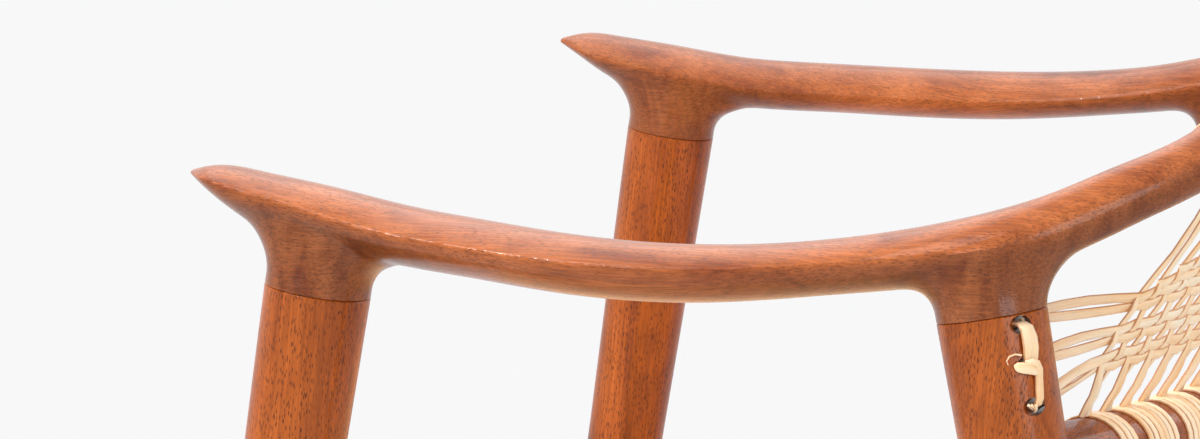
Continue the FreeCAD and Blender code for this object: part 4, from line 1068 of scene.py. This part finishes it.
# Each pair of warps goes once round the crest
crest_turns = Strips()
CREST_TURN_POINTS = 28
CREST_TURN_WIDTH = 3.6
HALF_TURN_GAP = 1.95
for pair in range(-PAIRS_EACH_SIDE, PAIRS_EACH_SIDE + 1):
    x = math.sin(abs(pair) * PAIR_PITCH / ARC_RADIUS) * ARC_RADIUS
    side = 1 if pair >= 0 else -1
    at = crest_at(x)
    for half in (-1, 1):
        centre, tangent, out, up, row = rail_frame(at + half * HALF_TURN_GAP)
        grow = STRIP_THICKNESS / 2 + 0.15 + chance.uniform(0.0, 0.2)
        slant = chance.uniform(-0.4, 0.4)
        marks = []
        for n in range(CREST_TURN_POINTS):
            turn = 2 * math.pi * n / CREST_TURN_POINTS
            reach_out, reach_up = row[3] + grow, (row[4] if math.sin(turn) > 0 else row[5]) + grow
            point = centre + out * (reach_out * math.cos(turn)) + up * (reach_up * math.sin(turn))
            point = point + tangent * (slant * math.cos(turn) + 1.4 * row[4] * tangent.z * (1 + math.sin(turn)))
            look = out * (math.cos(turn) / reach_out) + up * (math.sin(turn) / reach_up)
            marks.append((mirrored(point, side), mirrored(look, side).normalized(), CREST_TURN_WIDTH))
        crest_turns.add_strip(marks, ring=True)
crest_turns.made("cane_crest_turns", "crest_wraps")

# Woven seat and the turns of cane round the four seat rails
SEAT_LIFT = SEAT_RAIL_DEPTH / 2 + 1.6
HIGH_SEAT = SEAT_RAIL_HEIGHT + SEAT_RAIL_STAGGER
SEAT_INSET = SEAT_RAIL_WIDTH / 2 + 3.0
SEAT_DIP = 9.0


def leg_at(neck_place, up, height):
    return neck_place - up * ((neck_place.z - height) / up.z)


seat_front = leg_at(FRONT_NECK, FRONT_UP, SEAT_RAIL_HEIGHT)
seat_back = leg_at(REAR_NECK, REAR_UP, SEAT_RAIL_HEIGHT)


def seat_point(depth, across):
    """A place on the woven seat: depth 0 at the front to 1 at the back, across -1 to 1."""
    y = seat_front.y + SEAT_INSET + (seat_back.y - seat_front.y - 2 * SEAT_INSET) * depth
    half = seat_front.x + (seat_back.x - seat_front.x) * depth - SEAT_INSET
    bulge = 1 - (2 * depth - 1) ** 2
    side_height = SEAT_RAIL_HEIGHT + SEAT_LIFT + SEAT_RAIL_STAGGER * bulge
    dip = (SEAT_DIP + SEAT_RAIL_STAGGER) * bulge
    return Vector((half * across, y, side_height - dip * (1 - across * across)))


SEAT_PITCH = 5.3
SEAT_WIDTH = 4.3
SEAT_WEAVE = 0.5
SEAT_SET = 0.5
SEAT_STRIP_THICKNESS = 0.85
LENGTHS = int((seat_back.y - seat_front.y - 2 * SEAT_INSET) / SEAT_PITCH)
CROSSINGS = int((seat_front.x + seat_back.x) / SEAT_PITCH)
depths = [(n + 0.5) / LENGTHS for n in range(LENGTHS)]
acrosses = [2 * (n + 0.5) / CROSSINGS - 1 for n in range(CROSSINGS)]


def add_seat_strip(strips, places, first, last, over):
    """One strip of the seat through places, from first to last, over or under the first strip it crosses."""
    width = SEAT_WIDTH + chance.uniform(-0.2, 0.1)
    path = [seat_point(*first) - UP * SEAT_SET]
    for n, place in enumerate(places):
        path.append(seat_point(*place) + UP * (SEAT_WEAVE * (1 if (over + n) % 2 else -1) - SEAT_WEAVE - SEAT_SET))
    path.append(seat_point(*last) - UP * SEAT_SET)
    strips.add_strip([(point, UP, width) for point in path])


seat_long = Strips(FLAT_SECTION, SEAT_STRIP_THICKNESS)
for k, across in enumerate(acrosses):
    add_seat_strip(seat_long, [(depth, across) for depth in depths], (-0.03, across), (1.03, across), k)
seat_long.made("seat_strips_front_to_back", "seat_cane")
seat_wide = Strips(FLAT_SECTION, SEAT_STRIP_THICKNESS)
for n, depth in enumerate(depths):
    add_seat_strip(seat_wide, [(depth, across) for across in acrosses], (depth, -1.025), (depth, 1.025), n + 1)
seat_wide.made("seat_strips_side_to_side", "seat_cane")

SEAT_TURN_PITCH = 4.2
SEAT_TURN_WIDTH = 3.95
SEAT_WRAP_MARGIN = 34.0
CORNER_STEPS = 4
SEAT_TURN_THICKNESS = 0.9
SEAT_TURN_LIFT = 0.55


def rail_outline(grow):
    """The rounded outline of a seat rail, grown outwards: places across and up, and the way each looks."""
    radius = SEAT_RAIL_ROUND + grow
    run = SEAT_RAIL_WIDTH / 2 - SEAT_RAIL_ROUND
    climb = SEAT_RAIL_DEPTH / 2 - SEAT_RAIL_ROUND
    outline = []
    for corner, (x, y) in enumerate(((run, climb), (-run, climb), (-run, -climb), (run, -climb))):
        for n in range(CORNER_STEPS + 1):
            turn = math.pi / 2 * (corner + n / CORNER_STEPS)
            look = (math.cos(turn), math.sin(turn))
            outline.append(((x + radius * look[0], y + radius * look[1]), look))
    return outline


def wind_rail(name, start, end, node):
    """Close turns of cane along a straight seat rail, with bare wood at both ends."""
    along = (end - start).normalized()
    across = UP.cross(along)
    length = (end - start).length - 2 * SEAT_WRAP_MARGIN
    turns = Strips(FLAT_SECTION, SEAT_TURN_THICKNESS)
    count = int(length / SEAT_TURN_PITCH)
    for n in range(count):
        here = start + along * (SEAT_WRAP_MARGIN + (n + 0.5) * length / count)
        slant = chance.uniform(-0.3, 0.3)
        outline = rail_outline(SEAT_TURN_LIFT + chance.uniform(0, 0.12))
        marks = []
        for (x, y), (lx, ly) in outline:
            point = here + across * x + UP * y + along * (slant * lx)
            marks.append((point, across * lx + UP * ly, SEAT_TURN_WIDTH))
        turns.add_strip(marks, ring=True)
    turns.made(name, node)


wind_rail("seat_front_turns", mirrored(seat_front, -1), seat_front, "seat_front_wrap")
wind_rail("seat_back_turns", mirrored(seat_back, -1), seat_back, "seat_back_wrap")
high_front = leg_at(FRONT_NECK, FRONT_UP, HIGH_SEAT)
high_back = leg_at(REAR_NECK, REAR_UP, HIGH_SEAT)
wind_rail("seat_left_turns", high_front, high_back, "seat_left_wrap")
wind_rail("seat_right_turns", mirrored(high_front, -1), mirrored(high_back, -1), "seat_right_wrap")

# Lacing tied outside each rear leg: a broad strip down from the top hole, its fold, and a narrow end that goes
# back in at the last hole. Each mark: level in holes from the top one, degrees behind the hole, lift, lean, width.
TIE_STRIPS = (
    (
        (-0.03, 1.5, -7.0, 1.5, 3.6), (-0.02, 4.0, -1.0, 0.9, 4.6), (0.10, 6.0, 0.9, 0.35, 5.8),
        (0.34, 6.6, 1.6, 0.0, 6.6), (0.60, 6.2, 1.6, 0.0, 6.6), (0.80, 5.4, 1.2, 0.0, 6.2),
        (0.98, 4.6, 0.8, 0.0, 5.4),
    ),
    (
        (0.99, -13.0, 0.7, 0.0, 2.4), (0.98, -11.5, 1.6, 0.0, 3.6), (1.02, -6.0, 2.2, 0.0, 4.3),
        (1.06, 0.0, 2.5, 0.0, 4.4), (1.12, 6.0, 2.3, 0.0, 4.2), (1.19, 10.5, 1.7, 0.0, 3.2),
        (1.22, 12.0, 0.9, 0.0, 2.0),
    ),
    (
        (0.90, -3.0, 1.7, 0.0, 1.6), (0.91, 3.0, 2.6, 0.0, 2.6), (0.98, 8.0, 2.7, 0.0, 3.2),
        (1.14, 10.4, 2.3, 0.0, 3.4), (1.34, 10.6, 1.3, 0.0, 3.5), (1.60, 9.8, 1.0, 0.0, 3.6),
        (1.82, 8.8, 0.9, 0.0, 3.4), (1.95, 7.4, 0.1, 0.0, 3.0), (2.01, 5.6, -3.0, 0.0, 2.4),
        (2.02, 3.0, -7.0, 0.0, 2.0),
    ),
    ((1.95, -2.0, 0.4, 0.0, 1.4), (2.03, 2.0, -0.4, 0.0, 1.1), (2.10, 5.0, -1.4, 0.0, 0.4)),
    ((1.96, 3.0, 0.6, 0.0, 1.5), (2.06, 4.0, -0.2, 0.0, 1.2), (2.13, 3.0, -1.4, 0.0, 0.4)),
    ((1.93, -5.0, 0.3, 0.0, 1.1), (2.00, -2.0, -0.5, 0.0, 0.9), (2.07, 1.0, -1.6, 0.0, 0.4)),
    (
        (0.72, -5.0, 1.3, 0.0, 0.9), (0.67, -11.0, 0.9, 0.0, 0.7), (0.70, -17.0, 0.5, 0.0, 0.6),
        (0.80, -20.5, 0.4, 0.0, 0.5), (0.90, -19.5, 0.4, 0.0, 0.3),
    ),
)
HOLE_DEG = math.degrees(math.asin(LACE_HOLE_OFFSET / leg_radius_at(LACE_HOLE_DROP)))
for side, word in ((1, "left"), (-1, "right")):
    tie = Strips()
    for tie_marks in TIE_STRIPS:
        marks = []
        for level, degrees, lift, lean, width in tie_marks:
            drop = LACE_HOLE_DROP + level * LACE_HOLE_PITCH
            turn = math.radians(HOLE_DEG + degrees)
            look = mirrored(OUTWARD, side) * math.cos(turn) + mirrored(REARWARD, side) * math.sin(turn)
            place = mirrored(REAR_NECK - REAR_UP * drop, side) + look * (leg_radius_at(drop) + lift)
            marks.append((place, (look + mirrored(REAR_UP, side) * lean).normalized(), width))
        tie.add_strip(marks)
    tie.made(f"cane_lacing_{word}", f"{word}_lacing")

# Camera, light and floor
camera_data = bpy.data.cameras.new("camera")
camera = bpy.data.objects.new("camera", camera_data)
bpy.context.scene.collection.objects.link(camera)
bpy.context.scene.camera = camera
camera_data.sensor_width = 36.0
camera_data.lens = CAMERA_LENS
camera_data.clip_end = 60.0
turn, dip = math.radians(CAMERA_TURN_DEG), math.radians(CAMERA_DIP_DEG)
looking = Vector((-math.cos(turn) * math.cos(dip), -math.sin(turn) * math.cos(dip), -math.sin(dip)))
camera.location = (FRONT_NECK + Vector(CAMERA_FROM_NECK)) * MM
camera.rotation_mode = "QUATERNION"
camera.rotation_quaternion = looking.to_track_quat("-Z", "Y")

# Each lamp: name, place, width and power
LAMPS = (
    ("high_softbox", (0.8, -1.2, 2.6), 1.8, 33.0),
    ("far_softbox", (-1.3, -0.4, 2.0), 1.3, 6.0),
    ("window_side", (2.4, -1.6, 1.4), 1.4, 16.0),
    ("rear_softbox", (-1.6, 1.8, 2.2), 1.4, 14.0),
    ("side_softbox", (2.0, 1.9, 1.3), 1.4, 23.0),
    ("edge_light", (1.0, -1.35, 1.9), 0.3, 20.0),
)
CHAIR_MIDDLE = Vector((0.0, 0.0, 0.6))
for name, place, width, power in LAMPS:
    data = bpy.data.lights.new(name, "AREA")
    data.shape = "SQUARE"
    data.size = width
    data.energy = power
    lamp = bpy.data.objects.new(name, data)
    bpy.context.scene.collection.objects.link(lamp)
    lamp.location = place
    lamp.rotation_mode = "QUATERNION"
    lamp.rotation_quaternion = (CHAIR_MIDDLE - Vector(place)).to_track_quat("-Z", "Y")

world = bpy.data.worlds.new("white_cove")
bpy.context.scene.world = world
world.use_nodes = True
tree = world.node_tree
tree.nodes.clear()
rays = add(tree, "LightPath").outputs
bounced = {0: rays["Is Glossy Ray"], 1: rays["Is Transmission Ray"]}
mirrored_rays = add(tree, "Math", {"operation": "MAXIMUM"}, bounced)
seen = add(tree, "Math", {"operation": "MAXIMUM"}, {0: rays["Is Camera Ray"], 1: mirrored_rays})
lit = add(tree, "Background", {"Color": colour("#ffffff"), "Strength": 0.62})
shown = add(tree, "Background", {"Color": colour("#f8f8f9"), "Strength": 1.0})
both = add(tree, "MixShader", None, {0: seen, 1: lit, 2: shown})
add(tree, "OutputWorld", None, {"Surface": both})

FLOOR_RADIUS = 1.5
bpy.ops.mesh.primitive_circle_add(vertices=96, radius=FLOOR_RADIUS, fill_type="NGON", location=(0, 0, -0.0005))
floor = bpy.context.view_layer.objects.active
floor.name = "floor"
material, tree = new_material("pale_floor")
place = add(tree, "TexCoord").outputs["Object"]
distance = add(tree, "VectorMath", {"operation": "LENGTH"}, {0: place}).outputs["Value"]
fade_range = {"From Min": 0.75, "From Max": FLOOR_RADIUS * 0.98, "interpolation_type": "SMOOTHSTEP"}
fade = add(tree, "MapRange", fade_range, {"Value": distance})
paint = add(tree, "BsdfDiffuse", {"Color": colour("#dadada")})
clear = add(tree, "BsdfTransparent")
faded = add(tree, "MixShader", None, {0: fade, 1: paint, 2: clear})
add(tree, "OutputMaterial", None, {"Surface": faded})
dress(floor, material)

bpy.context.scene.view_settings.view_transform = "Standard"
